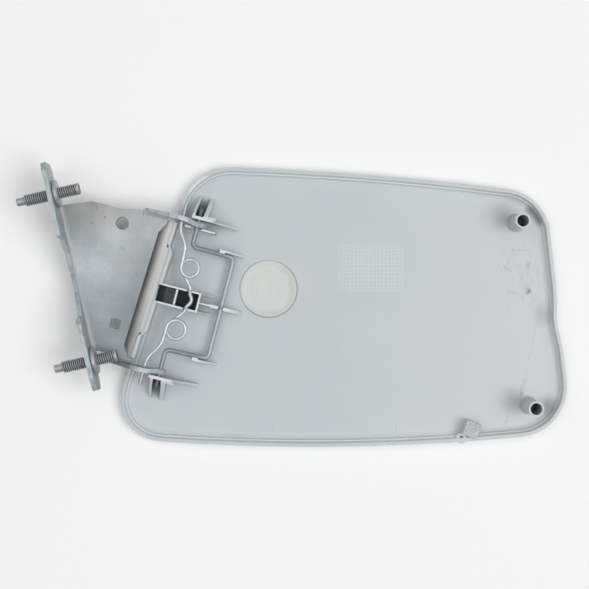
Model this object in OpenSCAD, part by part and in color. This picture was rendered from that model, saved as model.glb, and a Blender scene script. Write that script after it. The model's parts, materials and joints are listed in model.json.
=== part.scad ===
// Hinged fuel door of a car, lying on its outer face with the inner side up.
// The origin is on the outer face, at the middle of the door. X runs to the free end, Z away from the car's outside.

/* [Door outline] */
// Length of the bottom edge between its corner points
bottom_w = 232.5; // [215:0.5:245]
// Length of the top edge between its corner points
top_w = 176; // [165:0.5:185]
// Height of the hinge side, along Y
hinge_side_h = 135; // [128:0.5:142]
// How far the hinge side leans towards the free end over its height
hinge_side_lean = 43.2; // [38:0.2:48]
// Drop of the top edge from the hinge side to the free end
top_fall = 14; // [8:0.5:18]
// Rise of the bottom edge from the hinge side to the free end
bottom_rise = 2.8; // [0:0.2:6]
// Outward bow of the bottom edge
bottom_bow = 6.2; // [3:0.2:8]
// Outward bow of the top edge
top_bow = 2.6; // [1:0.2:5]
// Depth of the finger scallop in the free end
scallop_d = 1.5; // [0.5:0.1:2.5]
// Half width of the finger scallop
scallop_w = 9; // [6:0.5:14]
// Place of the finger scallop along Y
scallop_y = -8; // [-15:0.5:0]

/* [Door shell] */
// Thickness of the skin
skin_t = 2.6; // [2:0.1:3.2]
// Height of the rim above the outer face
rim_h = 8; // [7:0.1:9]
// Thickness of the rim
rim_t = 2.1; // [1.6:0.1:2.6]
// Width of the step inside the rim
step_w = 0.9; // [0.5:0.1:1.4]
// Height of the step above the outer face
step_h = 5.6; // [5:0.1:6.2]
// Width of the soft slope from the step to the skin
slope_w = 2.6; // [1.5:0.1:4]
// Extra width of that slope at the free end
slope_extra = 4.2; // [0:0.1:5]
// Radius of the edge round the outer face
edge_r = 1.5; // [0.8:0.1:2]

/* [Hinge] */
// Distance from the hinge side's edge to the hinge axis
hinge_inset = 14; // [12:0.1:16]
// Place of the hinge's middle along the hinge side, from its lower corner point
hinge_along = 77.3; // [72:0.1:82]
// Turn of the hinge axis from the hinge side's edge, in degrees
hinge_turn = 3.24; // [1.5:0.02:5]
// Height of the hinge axis above the outer face
hinge_z = 17; // [16:0.1:18]
// Distance of the ears' middle plane from the hinge's middle, at the axis
ear_v = 37.1; // [35.5:0.1:38.5]
// Radial clearance of the hinge wire in the ears
pin_clearance = 0.06; // [0.02:0.01:0.1]
// Running gap between the ears and the door's walls
side_gap = 0.4; // [0.3:0.05:0.8]

/* [Hinge wall] */
// Thickness of the hinge wall
wall_t = 1.6; // [1.2:0.1:2.2]
// How far the middle of the wall steps inwards
wall_jog = 2; // [1.2:0.1:2.6]
// Half length of the stepped middle
jog_half = 20; // [16:0.5:23]
// Reach of the curved lip outside the door's edge
lip_reach = 6.4; // [5.6:0.1:7.2]
// Gap between the lip and the bracket resting on it
stop_gap = 0.1; // [0.05:0.05:0.2]

/* [Spring box] */
// Half width of the box inside its walls
box_half = 4.1; // [3.6:0.1:4.6]
// Thickness of the box walls
box_t = 0.9; // [0.7:0.05:1.2]
// Height of the box above the outer face
box_h = 17.2; // [16:0.1:18]
// Place of the cross wall, from the hinge axis
cross_u = -2.3; // [-3.2:0.1:-1.4]
// Place of the end wall, from the hinge axis
box_end_u = 9.3; // [8.6:0.1:10.4]
// Length of the fins that run on past the end wall
box_fin = 6.4; // [4:0.1:7]

/* [Sockets] */
// Thickness of the socket walls
socket_t = 1.5; // [1.2:0.1:1.9]
// Height of the socket walls above the outer face
socket_h = 21; // [20:0.1:22.5]
// Length of the gussets behind the sockets
gusset_l = 11.4; // [9:0.2:13]
// Length of the fin that runs from each socket towards the free end
socket_fin = 11; // [8:0.5:13]

/* [Bosses] */
// Outer diameter of the two tubular bosses
boss_d = 7.5; // [7:0.1:8.4]
// Bore of the bosses
boss_bore = 5.8; // [5:0.1:6]
// Height of the bosses above the outer face
boss_h = 24; // [18:0.5:26]
// Distance from the free end's top corner point to the upper boss, along the top edge
boss_in_top = 14.2; // [12:0.1:18]
// Distance from the top corner point down to the upper boss
boss_down = 14; // [12:0.1:18]
// Distance from the free end's lower corner point to the lower boss, along the bottom edge
boss_in_bottom = 21; // [19:0.1:26]
// Distance from the lower corner point up to the lower boss
boss_up = 12.5; // [11:0.1:16]
// Side of the small square block by the bottom rim
block_side = 7.5; // [6.5:0.1:8.5]
// Distance from the lower corner point to the block, along the bottom edge
block_in = 50.5; // [46:0.5:56]
// Rise of the block's middle above that corner point
block_up = 1; // [0.5:0.1:2]
// Turn of the block, in degrees
block_turn = -21.7; // [-26:0.1:-18]

/* [Bracket] */
// Thickness of the steel sheet
sheet_t = 2.2; // [1.8:0.1:2.6]
// Inside radius of the sheet's folds
fold_r = 1.9; // [1.5:0.1:2.4]
// Slant of the stud flange from the hinge axis, in degrees
flange_slant = 27.3; // [24:0.1:30]
// Distance from the hinge's middle to the flange's outer face, square to the flange
flange_reach = 49; // [46:0.2:53]
// Shift of the studs' middle along the flange, from the hinge's middle
flange_shift = 20.9; // [18:0.1:24]
// Distance between the studs
stud_pitch = 82.8; // [78:0.2:88]
// Height of the stud axes above the bracket's plate
stud_rise = 8.3; // [7.6:0.1:9.5]
// Height of the flange's lobes above the studs
lobe_r = 10; // [9:0.1:11]
// Distance from each stud to the step at which its lobe ends
lobe_w = 21.6; // [18:0.2:24]
// Diameter of the round hole in the plate
plate_hole_d = 6.5; // [5:0.1:8]
// Side of the square hole in the plate
square_hole = 4.8; // [4:0.1:6]
// Highest point of the ears above the hinge axis
ear_rise = 9; // [7.5:0.1:10.5]
// Reach of the ears below the hinge axis
ear_r = 4.5; // [4:0.1:5]
// Reach of the upper ear's nose past the hinge axis
nose_upper = 4.4; // [3:0.1:5]
// Reach of the lower ear's nose past the hinge axis
nose_lower = 2.9; // [2.8:0.1:4.4]
// Length over which the ears' far ends thin out
ear_taper = 12; // [6:0.5:14]

/* [Studs] */
// Diameter of the studs
stud_d = 6; // [5:0.1:7]
// Length of the thread on the outer side
thread_out = 12.8; // [10:0.1:16]
// Length of the thread on the inner side
thread_in = 10.4; // [8:0.1:13]
// Diameter of the plain tip
tip_d = 3.9; // [3.2:0.1:4.2]
// Length of the plain tip
tip_l = 3.8; // [2:0.1:5]
// Diameter of the stud's round collar
collar_d = 13.5; // [12:0.1:14.5]
// Thickness of the stud's round collar
collar_t = 2; // [1.5:0.1:2.5]
// Diameter of the shank pressed into the sheet
shank_d = 6.9; // [6.6:0.1:7.6]

/* [Wires] */
// Diameter of the hinge wire
wire_d = 2.35; // [2:0.05:2.6]
// Bend radius of the hinge wire, to its middle
wire_bend = 2.5; // [2:0.1:3.5]
// Distance of the hinge wire's legs from the hinge's middle
leg_v = 26; // [25:0.1:27.5]
// Reach of the hinge wire's loop, square to the axis
loop_reach = 20.8; // [19:0.1:22]
// Height of the loop's far side above the outer face
loop_z = 7.6; // [7:0.1:9]
// Length of the hinge wire's ends past the socket walls
wire_end = 4.2; // [2.5:0.1:6]
// Diameter of the spring wire
spring_d = 1.8; // [1.5:0.05:2]
// Radius of the spring's upper coil, to the wire's middle
coil_r_upper = 4.3; // [3.8:0.1:4.6]
// Radius of the spring's lower coil, to the wire's middle
coil_r_lower = 4.7; // [4:0.1:5]
// Distance of the coils from the hinge's middle
coil_v = 15.5; // [14.5:0.1:16.5]
// Distance of the spring's hooked ends from the hinge axis
spring_arm = 8; // [7.2:0.1:8.8]
// Drop of the spring's clipped middle below the hinge axis
clip_drop = 4; // [3.4:0.1:4.4]

/* [Pad] */
// Diameter of the round pad
pad_d = 29.2; // [24:0.2:34]
// Thickness of the round pad
pad_t = 0.9; // [0.6:0.1:1.4]

/* [Hidden] */

eps = 0.01;
sink = 0.6;
panel_colour = "#c9cdcf";
steel_colour = "#a7acb0";
wire_colour = "#d5dadd";
stud_colour = "#8c9193";
pad_colour = "#d8dcd6";

// Corner points of the outline, anticlockwise from the lower hinge corner
outline_shift = [-2.5, 2.5];
corner_bl = [-bottom_w / 2, -hinge_side_h / 2] + outline_shift;
corner_br = corner_bl + [bottom_w, bottom_rise];
corner_tl = corner_bl + [hinge_side_lean, hinge_side_h];
corner_tr = corner_tl + [top_w, -top_fall];
corners = [corner_bl, corner_br, corner_tr, corner_tl];
bows = [bottom_bow, 0, top_bow, 0];
corner_cuts = [27.5, 25.5, 18, 19.3];
edge_steps = [14, 20, 12, 4];
corner_steps = 12;
edge_slant = atan(hinge_side_lean / hinge_side_h);

// Heights that follow from the hinge
plate_drop = 1.5;
plate_z = hinge_z - plate_drop;
plate_top = plate_z + sheet_t;
stud_z = plate_top + stud_rise;
clip_z = hinge_z - clip_drop;
spring_hole_d = spring_d + 0.3;

// Places along the hinge axis
ear_in = ear_v - sheet_t / 2;
ear_out = ear_v + sheet_t / 2;
ear_joggle = 1.1;
fold_in = ear_out + ear_joggle - sheet_t - fold_r;
socket_v = ear_out + ear_joggle + side_gap;
inner_wall_v = ear_in - side_gap;
wall_half = fold_in - 0.3;
wire_half = socket_v + socket_t + wire_end;

function unit(a) = a / norm(a);
function outward(d) = [d.y, -d.x];
function next(i) = (i + 1) % len(corners);
function edge_len(i) = norm(corners[next(i)] - corners[i]);
function edge_dir(i) = unit(corners[next(i)] - corners[i]);
function edge_point(i, s) =
    corners[i] + edge_dir(i) * edge_len(i) * s + outward(edge_dir(i)) * 4 * bows[i] * s * (1 - s);
function edge_tangent(i, s) =
    unit(edge_dir(i) * edge_len(i) + outward(edge_dir(i)) * 4 * bows[i] * (1 - 2 * s));
function edge_start(i) = corner_cuts[i] / edge_len(i);
function edge_end(i) = 1 - corner_cuts[next(i)] / edge_len(i);
function bezier(a, b, c, d, s) =
    a * pow(1 - s, 3) + b * 3 * s * pow(1 - s, 2) + c * 3 * s * s * (1 - s) + d * pow(s, 3);
function edge_run(i) = [
    for (k = [0:edge_steps[i]])
        edge_point(i, edge_start(i) + (edge_end(i) - edge_start(i)) * k / edge_steps[i])
];
function corner_run(i, j) =
    let (
        a = edge_point(i, edge_end(i)),
        d = edge_point(j, edge_start(j)),
        pull = corner_cuts[j] * 0.56,
        b = a + edge_tangent(i, edge_end(i)) * pull,
        c = d - edge_tangent(j, edge_start(j)) * pull
    )
    [for (k = [1:corner_steps - 1]) bezier(a, b, c, d, k / corner_steps)];

// Outline points and the way out at each of them
outline = [for (i = [0:3]) each concat(edge_run(i), corner_run(i, next(i)))];
outline_n = len(outline);
function way_out(i) =
    outward(unit(outline[(i + 1) % outline_n] - outline[(i + outline_n - 1) % outline_n]));
normals = [for (i = [0:outline_n - 1]) way_out(i)];

// Share of the free end's features at an outline point, and the scallop there
function free_end(i) = pow(max(0, normals[i].x), 3);
function scallop(i) =
    normals[i].x > 0.8 ? scallop_d * exp(-pow((outline[i].y - scallop_y) / scallop_w, 2)) : 0;
function local_slope(i) = slope_w + slope_extra * free_end(i);

// Section of the shell, as inset, share of the slope, and height
slope_steps = 5;
rim_round = 0.5;
shell_section = concat(
    [
        [edge_r, 0, 0],
        [edge_r * 0.3, 0, edge_r * 0.3],
        [0, 0, edge_r],
        [0, 0, rim_h - rim_round],
        [rim_round * 0.3, 0, rim_h - rim_round * 0.3],
        [rim_round, 0, rim_h],
        [rim_t - rim_round, 0, rim_h],
        [rim_t, 0, rim_h - rim_round],
        [rim_t + 0.1, 0, step_h + 0.1],
        [rim_t + 0.3, 0, step_h],
        [rim_t + step_w, 0, step_h]
    ],
    [
        for (k = [1:slope_steps])
            let (a = 90 * k / slope_steps)
            [rim_t + step_w, 1 - cos(a), step_h - (step_h - skin_t) * sin(a)]
    ]
);
function shell_point(i, s) =
    let (p = outline[i] - normals[i] * (s[0] + s[1] * local_slope(i) + scallop(i)))
    [p.x, p.y, s[2]];

// A plain stack of rings, closed by a face at each end
module ring_stack(rings) {
    n = len(rings[0]);
    m = len(rings);
    polyhedron(
        points = [for (ring = rings) each ring],
        faces = concat(
            [[for (i = [0:n - 1]) i]],
            [[for (i = [n - 1:-1:0]) (m - 1) * n + i]],
            [
                for (k = [0:m - 2], i = [0:n - 1])
                    [k * n + i, (k + 1) * n + i, (k + 1) * n + (i + 1) % n]
            ],
            [
                for (k = [0:m - 2], i = [0:n - 1])
                    [k * n + i, (k + 1) * n + (i + 1) % n, k * n + (i + 1) % n]
            ]
        )
    );
}

// Frame of the hinge side's edge: X inwards from the edge, Y along it, from beside the hinge's middle
module at_edge() {
    translate(corner_bl) rotate(-edge_slant) translate([0, hinge_along]) children();
}

// Frame of the hinge: X square to the axis towards the free end, Y along the axis
module at_hinge() {
    at_edge() translate([hinge_inset, 0]) rotate(hinge_turn) children();
}

// Frame of the stud flange: X square to it towards the door, Y along it, zero at its outer face
module at_flange() {
    at_hinge() rotate(flange_slant) translate([-flange_reach, 0]) children();
}

// A sheet standing on the XZ plane of the hinge frame, from v to v + t, cut from a side view
module upright(v, t) {
    translate([0, v + t, 0]) rotate([90, 0, 0]) linear_extrude(t) children();
}

// A bore along the hinge axis
module axis_bore(u, z, d, v_from, v_to) {
    translate([u, v_from, z]) rotate([-90, 0, 0]) cylinder(d = d, h = v_to - v_from, $fn = 48);
}

// Door panel

module shell() {
    ring_stack([for (s = shell_section) [for (i = [0:outline_n - 1]) shell_point(i, s)]]);
}

wall_top = plate_z + 0.9;
lip_top = plate_z - stop_gap;
wall_out = 0.4;

// Side view of the curved lip outside the hinge wall
module lip_view() {
    drop = 2.4;
    polygon([
        [wall_out + eps, lip_top],
        [-1.4, lip_top],
        [-3.4, lip_top - 0.9],
        [-lip_reach + 1.2, lip_top - drop],
        [-lip_reach, lip_top - drop - 1.6],
        [-lip_reach, lip_top - drop - 3],
        [-lip_reach + 1.6, lip_top - drop - 3],
        [-lip_reach + 2.4, lip_top - drop - 2],
        [-2.2, lip_top - 3.4],
        [wall_out + eps, lip_top - 2.6]
    ]);
}

module lip() {
    chamfer = 6;
    intersection() {
        translate([0, wall_half, 0]) rotate([90, 0, 0]) linear_extrude(2 * wall_half) lip_view();
        linear_extrude(lip_top + 1) polygon([
            [-lip_reach - 1, -wall_half + chamfer],
            [-lip_reach + 3, -wall_half],
            [wall_t, -wall_half],
            [wall_t, wall_half],
            [-lip_reach + 3, wall_half],
            [-lip_reach - 1, wall_half - chamfer]
        ]);
    }
}

// Plan of the wall's raised edge, with its step inwards
module wall_plan() {
    slant = 3.2;
    inner = wall_out + wall_t;
    polygon([
        [wall_out, -wall_half],
        [inner, -wall_half],
        [inner, -jog_half - slant],
        [inner + wall_jog, -jog_half],
        [inner + wall_jog, jog_half],
        [inner, jog_half + slant],
        [inner, wall_half],
        [wall_out, wall_half],
        [wall_out, jog_half + slant + 1],
        [wall_out + wall_jog, jog_half + 1],
        [wall_out + wall_jog, -jog_half - 1],
        [wall_out, -jog_half - slant - 1]
    ]);
}

module hinge_wall() {
    lip();
    translate([0, 0, skin_t - sink]) linear_extrude(wall_top - skin_t + sink) wall_plan();
    translate([wall_out, -jog_half - 2, skin_t - sink])
        cube([wall_jog + eps, 2 * jog_half + 4, lip_top - skin_t + sink]);
}

// Side view of a fin that starts at full height and runs down to the skin
module falling_fin_view(u, length, top) {
    polygon([
        [u - eps, skin_t - sink],
        [u + length, skin_t - sink],
        [u + length, skin_t + (top - skin_t) * 0.18],
        [u + length * 0.55, skin_t + (top - skin_t) * 0.55],
        [u - eps, top]
    ]);
}

box_start_u = -hinge_inset + wall_out + wall_t + 0.7;

module spring_box() {
    length = box_end_u + box_t - box_start_u;
    for (side = [-1, 1]) {
        v = side > 0 ? box_half : -box_half - box_t;
        translate([box_start_u, v, skin_t - sink]) cube([length, box_t, box_h - skin_t + sink]);
        upright(v, box_t) falling_fin_view(box_end_u + box_t, box_fin, box_h - 2);
    }
    for (u = [cross_u, box_end_u])
        translate([u, -box_half - eps, skin_t - sink])
            cube([box_t, 2 * (box_half + eps), (u < 0 ? box_h - 1.4 : box_h) - skin_t + sink]);
}

// Rib between the box and the loop of the hinge wire, which drops into its notch
module centre_rib() {
    start_u = box_end_u + box_t - eps;
    thin = 0.8;
    thick = 1.6;
    rib_h = loop_z + 4;
    thick_u = loop_reach - 5.7;
    end_u = loop_reach + 10.4;
    upright(-thin / 2, thin) polygon([
        [start_u, skin_t - sink],
        [thick_u + 1, skin_t - sink],
        [thick_u + 1, rib_h],
        [start_u, rib_h + 1.4]
    ]);
    upright(-thick / 2, thick) polygon([
        [thick_u, skin_t - sink],
        [end_u, skin_t - sink],
        [end_u, skin_t + 1.4],
        [loop_reach + 8, rib_h - 2.4],
        [loop_reach + 3.4, rib_h],
        [thick_u, rib_h]
    ]);
}

// Slot in which the loop of the hinge wire lies
module loop_slot() {
    w = wire_d + 0.1;
    translate([loop_reach - w / 2, -2, loop_z]) cube([w, 4, 10]);
    axis_bore(loop_reach, loop_z, w, -2, 2);
}

gusset_t = 1.3;
gusset_u = [-socket_t - gusset_t - 0.7, 1.9];

// One socket: the outer wall beyond an ear, its fin, and two gussets
module socket(side) {
    v = side > 0 ? socket_v : -socket_v - socket_t;
    left_u = side > 0 ? -3.9 : -5;
    right_u = 8;
    upright(v, socket_t) polygon([
        [left_u, skin_t - sink],
        [right_u, skin_t - sink],
        [right_u, socket_h - 2],
        [right_u - 1.4, socket_h],
        [left_u + 0.6, socket_h],
        [left_u, socket_h - 1]
    ]);
    upright(side > 0 ? v : v + socket_t - 1, 1) falling_fin_view(right_u, socket_fin, socket_h - 2.6);
    translate([right_u - 4, side > 0 ? v + eps : v - 1, skin_t - sink])
        cube([4, socket_t + 1 - eps, socket_h - 2.6 - skin_t + sink]);
    for (k = [0, 1]) {
        thick = gusset_t + 0.9 * k;
        translate([gusset_u[k], side * (socket_v + socket_t - 0.5), 0])
            rotate([90, 0, 90]) linear_extrude(thick) polygon([
                [0, skin_t - sink],
                [side * gusset_l, skin_t - sink],
                [side * gusset_l, skin_t + 0.8],
                [side * 1.2, socket_h - 1.2],
                [0, socket_h - 1.2]
            ]);
    }
}

// Low wall inside the upper ear, open in the middle for the hinge wire
module inner_wall() {
    notch = 2.75;
    left_u = -5.9;
    right_u = 9.2;
    thick = 0.9;
    upright(inner_wall_v - thick, thick) polygon([
        [left_u, skin_t - sink],
        [right_u, skin_t - sink],
        [right_u, socket_h - 4],
        [notch + 1, socket_h - 1],
        [notch, socket_h - 1],
        [notch, hinge_z - wire_d / 2 - 0.2],
        [-notch, hinge_z - wire_d / 2 - 0.2],
        [-notch, socket_h - 1],
        [left_u, socket_h - 1]
    ]);
}

// Fins beside the legs of the hinge wire, each with a nib over the leg
module wire_hook(side) {
    fin_t = 1;
    gap = 0.15;
    v = leg_v + wire_d / 2 + gap;
    nib_u = loop_reach - 6;
    nib_half = 1.4;
    nib_t = 1;
    nib_w = 0.7;
    nib_low = leg_height(nib_u - nib_half) + wire_d / 2 / cos(loop_slope) + gap;
    nib_top = nib_low + nib_t;
    upright(side > 0 ? v : -v - fin_t, fin_t) polygon([
        [loop_reach - 8.4, skin_t - sink],
        [loop_reach + 4.8, skin_t - sink],
        [loop_reach + 4.8, skin_t + 0.8],
        [loop_reach - 2, nib_top - 1],
        [nib_u + nib_half, nib_top],
        [nib_u - nib_half, nib_top],
        [loop_reach - 8.4, skin_t + 4]
    ]);
    upright(side > 0 ? v - nib_w : -v - eps, nib_w + eps) polygon([
        [nib_u - nib_half, nib_low],
        [nib_u + nib_half, nib_low],
        [nib_u + nib_half, nib_top],
        [nib_u - nib_half, nib_top]
    ]);
}

// Cuts across the box walls in which the spring's middle is clipped
clip_u = 4;
module clip_slots() {
    w = spring_d + 0.5;
    for (side = [-1, 1])
        translate([clip_u - w / 2, side * (box_half + box_t / 2) - box_t, clip_z - w / 2])
            cube([w, 2 * box_t, box_h]);
}

boss_places = [corner_tr - [boss_in_top, boss_down], corner_br + [-boss_in_bottom, boss_up]];
bore_floor = skin_t + 1.4;

module boss() {
    foot = 2.4;
    translate([0, 0, skin_t - sink]) {
        cylinder(d = boss_d, h = boss_h - skin_t + sink, $fn = 64);
        cylinder(d1 = boss_d + foot, d2 = boss_d, h = foot + sink, $fn = 64);
    }
}

// Small square block by the bottom rim, with an eyelet that leans on the rim
block_place = corner_br + [-block_in, block_up];
block_rise = 2.5;
eyelet_place = [-5, -4.5];
eyelet_d = 5.2;
eyelet_bore = 2.4;
module block() {
    root = skin_t - sink;
    translate([block_place.x, block_place.y, root]) {
        rotate(block_turn) translate([-block_side / 2, -block_side / 2, 0])
            cube([block_side, block_side, rim_h + block_rise - root]);
        translate(eyelet_place) difference() {
            cylinder(d = eyelet_d, h = rim_h - root, $fn = 48);
            translate([0, 0, sink + 1]) cylinder(d = eyelet_bore, h = rim_h, $fn = 32);
        }
    }
}

module door_panel() {
    color(panel_colour) difference() {
        union() {
            shell();
            at_edge() hinge_wall();
            at_hinge() {
                spring_box();
                centre_rib();
                inner_wall();
                for (side = [-1, 1]) {
                    socket(side);
                    wire_hook(side);
                }
            }
            for (p = boss_places) translate(p) boss();
            block();
        }
        at_hinge() {
            translate([box_start_u, -box_half, skin_t])
                cube([cross_u - box_start_u, 2 * box_half, box_h]);
            clip_slots();
            loop_slot();
            for (side = [-1, 1])
                axis_bore(0, hinge_z, wire_d + 0.06,
                    side > 0 ? socket_v - 1 : -socket_v - socket_t - 1,
                    side > 0 ? socket_v + socket_t + 1 : -socket_v + 1);
        }
        for (p = boss_places)
            translate([p.x, p.y, bore_floor]) cylinder(d = boss_bore, h = boss_h, $fn = 64);
    }
}

// Round pad on the inner face, in front of the hinge

pad_place = [41.4, 15.3];
module round_pad() {
    r = pad_d / 2;
    color(pad_colour) at_hinge() translate([pad_place.x, pad_place.y, skin_t])
        rotate_extrude($fn = 96) polygon([
            [0, 0],
            [r, 0],
            [r, pad_t * 0.45],
            [r - 0.5, pad_t],
            [r - 1.8, pad_t],
            [r - 2.2, pad_t * 0.7],
            [r * 0.66, pad_t * 0.7],
            [r * 0.63, pad_t * 0.85],
            [r * 0.3, pad_t * 0.85],
            [r * 0.27, pad_t * 0.7],
            [0, pad_t * 0.7]
        ]);
}

// Hinge wire

loop_slope = atan((hinge_z - loop_z) / loop_reach);
leg_length = norm([loop_reach, hinge_z - loop_z]);
function leg_height(u) = hinge_z - u * tan(loop_slope);

// A wire of straight lengths and bends: each step is a length, a turn to the left and a bend radius
module bent_wire(d, steps, i = 0) {
    length = steps[i][0];
    turn = steps[i][1];
    bend = steps[i][2];
    side = turn > 0 ? 1 : -1;
    rotate([0, 90, 0]) cylinder(d = d, h = length, $fn = 32);
    if (turn != 0)
        translate([length, 0, 0]) {
            translate([0, side * bend, 0]) rotate(-90 * side)
                rotate_extrude(angle = turn, $fn = 96) translate([bend, 0]) circle(d = d, $fn = 32);
            translate([bend * sin(abs(turn)), side * bend * (1 - cos(turn)), 0]) rotate(turn)
                bent_wire(d, steps, i + 1);
        }
}

module hinge_wire() {
    across = leg_length - 2 * wire_bend;
    end = wire_half - leg_v - wire_bend;
    color(wire_colour) at_hinge() translate([0, 0, hinge_z]) rotate([0, loop_slope, 0])
        translate([0, -wire_half, 0]) rotate(90)
            bent_wire(wire_d, [
                [end, -90, wire_bend],
                [across, 90, wire_bend],
                [2 * (leg_v - wire_bend), 90, wire_bend],
                [across, -90, wire_bend],
                [end, 0, 0]
            ]);
}

// Spring

// Rings of a wire swept along a path that never runs straight up
function along(path, i) = unit(path[min(i + 1, len(path) - 1)] - path[max(i - 1, 0)]);
function sweep_ring(path, i, r, sides) =
    let (
        t = along(path, i),
        across = unit(cross(t, [0, 0, 1])),
        up = cross(across, t)
    )
    [
        for (k = [0:sides - 1])
            path[i] + across * r * cos(360 * k / sides) + up * r * sin(360 * k / sides)
    ];

coil_u_upper = 1.5;
coil_u_lower = 2.4;
coil_pitch = spring_d + 0.15;
coil_steps = 30;
coil_leave = 40;
arm_in = 35.5;
bow_u = 6.1;

// Path of one half, from the end in the ear to the middle of the clip, for a coil of radius r round u
function half_path(u, r) = concat(
    [
        [-spring_arm, ear_out + ear_joggle + 6.4, hinge_z],
        [-spring_arm, arm_in + 4, hinge_z],
        [-spring_arm, arm_in, hinge_z],
        [-spring_arm + 0.3, arm_in - 2.4, hinge_z],
        [-spring_arm + 1.5, arm_in - 4.9, hinge_z],
        [-4.7, 28, hinge_z],
        [-3.3, 25.4, hinge_z],
        [u - r - 0.2, 22.6, hinge_z],
        [u - r - 0.1, coil_v + 3.4, hinge_z]
    ],
    [
        for (k = [0:coil_steps])
            let (a = 180 + (360 + coil_leave) * k / coil_steps)
            [
                u + r * cos(a),
                coil_v + r * sin(a),
                hinge_z - 0.2 - coil_pitch * (a - 180) / 360
            ]
    ],
    [
        [1.3, 9.4, clip_z + 0.8],
        [3.2, 7.0, clip_z + 0.1],
        [clip_u, box_half + box_t + 0.7, clip_z],
        [clip_u + 0.1, box_half + box_t / 2, clip_z],
        [clip_u + 0.4, box_half - 0.9, clip_z],
        [bow_u - 0.6, 1.8, clip_z],
        [bow_u, 0, clip_z]
    ]
);
upper_half = half_path(coil_u_upper, coil_r_upper);
lower_half = half_path(coil_u_lower, coil_r_lower);
function mirrored(p) = [p.x, -p.y, p.z];
spring_path = concat(upper_half, [for (i = [len(lower_half) - 2:-1:0]) mirrored(lower_half[i])]);

module centre_spring() {
    color(wire_colour) at_hinge()
        ring_stack([for (i = [len(spring_path) - 1:-1:0]) sweep_ring(spring_path, i, spring_d / 2, 10)]);
}

// Bracket

// Section of a fold in the sheet, from the flat along -X to the upright along +Y, with a short flat at each end
fold_flat = 0.5;
relief = 0.6;
module fold_section() {
    outer = fold_r + sheet_t;
    difference() {
        circle(r = outer, $fn = 64);
        circle(r = fold_r, $fn = 64);
        translate([-2 * outer, -2 * outer]) square([2 * outer, 4 * outer]);
        translate([-2 * outer, 0]) square([4 * outer, 2 * outer]);
    }
    translate([-fold_flat, -outer]) square([fold_flat, sheet_t]);
    translate([fold_r, 0]) square([sheet_t, fold_flat]);
}

flange_y = [for (side = [-1, 1]) flange_shift + side * stud_pitch / 2];
flange_ends = [flange_y[0] - 1.44 * lobe_r, flange_y[1] + 1.53 * lobe_r];
flange_fold = [flange_y[0] + 0.4 * lobe_r, flange_y[1] - 0.52 * lobe_r];
fold_z = plate_top + fold_r;
upright_z = fold_z + fold_flat / 2;

// Side view of the stud flange
module flange_view() {
    waist_z = plate_top + 0.2 * lobe_r;
    top_z = stud_z + lobe_r;
    low_z = stud_z - 0.84 * lobe_r;
    outer_r = 0.15 * lobe_r;
    inner_r = 0.25 * lobe_r;
    difference() {
        offset(r = outer_r, $fn = 32) offset(delta = -outer_r)
            offset(r = -inner_r, $fn = 32) offset(delta = inner_r) polygon([
                [flange_ends[0], low_z + 0.3 * lobe_r],
                [flange_ends[0] + 0.3 * lobe_r, low_z],
                [flange_ends[1] - 0.3 * lobe_r, low_z],
                [flange_ends[1], low_z + 0.3 * lobe_r],
                [flange_ends[1], top_z - 0.3 * lobe_r],
                [flange_ends[1] - 0.4 * lobe_r, top_z],
                [flange_y[1] - lobe_w, top_z],
                [flange_y[1] - lobe_w, stud_z + 0.2 * lobe_r],
                [flange_y[1] - 1.37 * lobe_w, waist_z + 0.3 * lobe_r],
                [flange_y[1] - 1.9 * lobe_w, waist_z],
                [flange_y[0] + 1.65 * lobe_w, waist_z],
                [flange_y[0] + 1.2 * lobe_w, stud_z - 0.1 * lobe_r],
                [flange_y[0] + lobe_w, stud_z + 0.1 * lobe_r],
                [flange_y[0] + lobe_w, top_z - 0.3 * lobe_r],
                [flange_y[0] + 0.85 * lobe_w, top_z - 0.1 * lobe_r],
                [flange_y[0] - 0.8 * lobe_r, top_z - 0.1 * lobe_r],
                [flange_ends[0], top_z - 0.5 * lobe_r]
            ]);
        translate([flange_fold[0] - relief, low_z - 1])
            square([flange_fold[1] - flange_fold[0] + 2 * relief, upright_z - low_z + 1]);
    }
}

module flange() {
    rotate([90, 0, 90]) linear_extrude(sheet_t) flange_view();
    translate([0, flange_fold[1], 0]) rotate([90, 0, 0]) linear_extrude(flange_fold[1] - flange_fold[0])
        translate([sheet_t + fold_r, fold_z]) mirror([1, 0]) fold_section();
}

function flange_point(x, y) =
    let (a = flange_slant, u = x - flange_reach)
    [u * cos(a) - y * sin(a), u * sin(a) + y * cos(a)];

ear_far = -26.5;
plate_edge_u = -14.8;

// Plan of the plate, in the hinge frame
module plate_plan() {
    start = sheet_t + fold_r + fold_flat / 2;
    edge_v = fold_in - fold_flat / 2;
    gap = relief + 0.2;
    polygon([
        flange_point(start, flange_fold[1]),
        flange_point(start + 0.85 * lobe_r, flange_fold[1] - 0.09 * lobe_r),
        [2 * ear_far, fold_in + 0.3],
        [1.43 * ear_far, fold_in + 0.2],
        [ear_far - gap, ear_in + ear_joggle + 0.7],
        [ear_far - gap, edge_v],
        [plate_edge_u, edge_v],
        [plate_edge_u, fold_in - 1.2],
        [1.2 * plate_edge_u, 0.82 * fold_in],
        [1.37 * plate_edge_u, -0.82 * fold_in],
        [1.19 * plate_edge_u, -fold_in + 1.5],
        [1.19 * plate_edge_u, -edge_v],
        [ear_far + 1, -edge_v],
        flange_point(start, flange_fold[0])
    ]);
}

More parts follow.
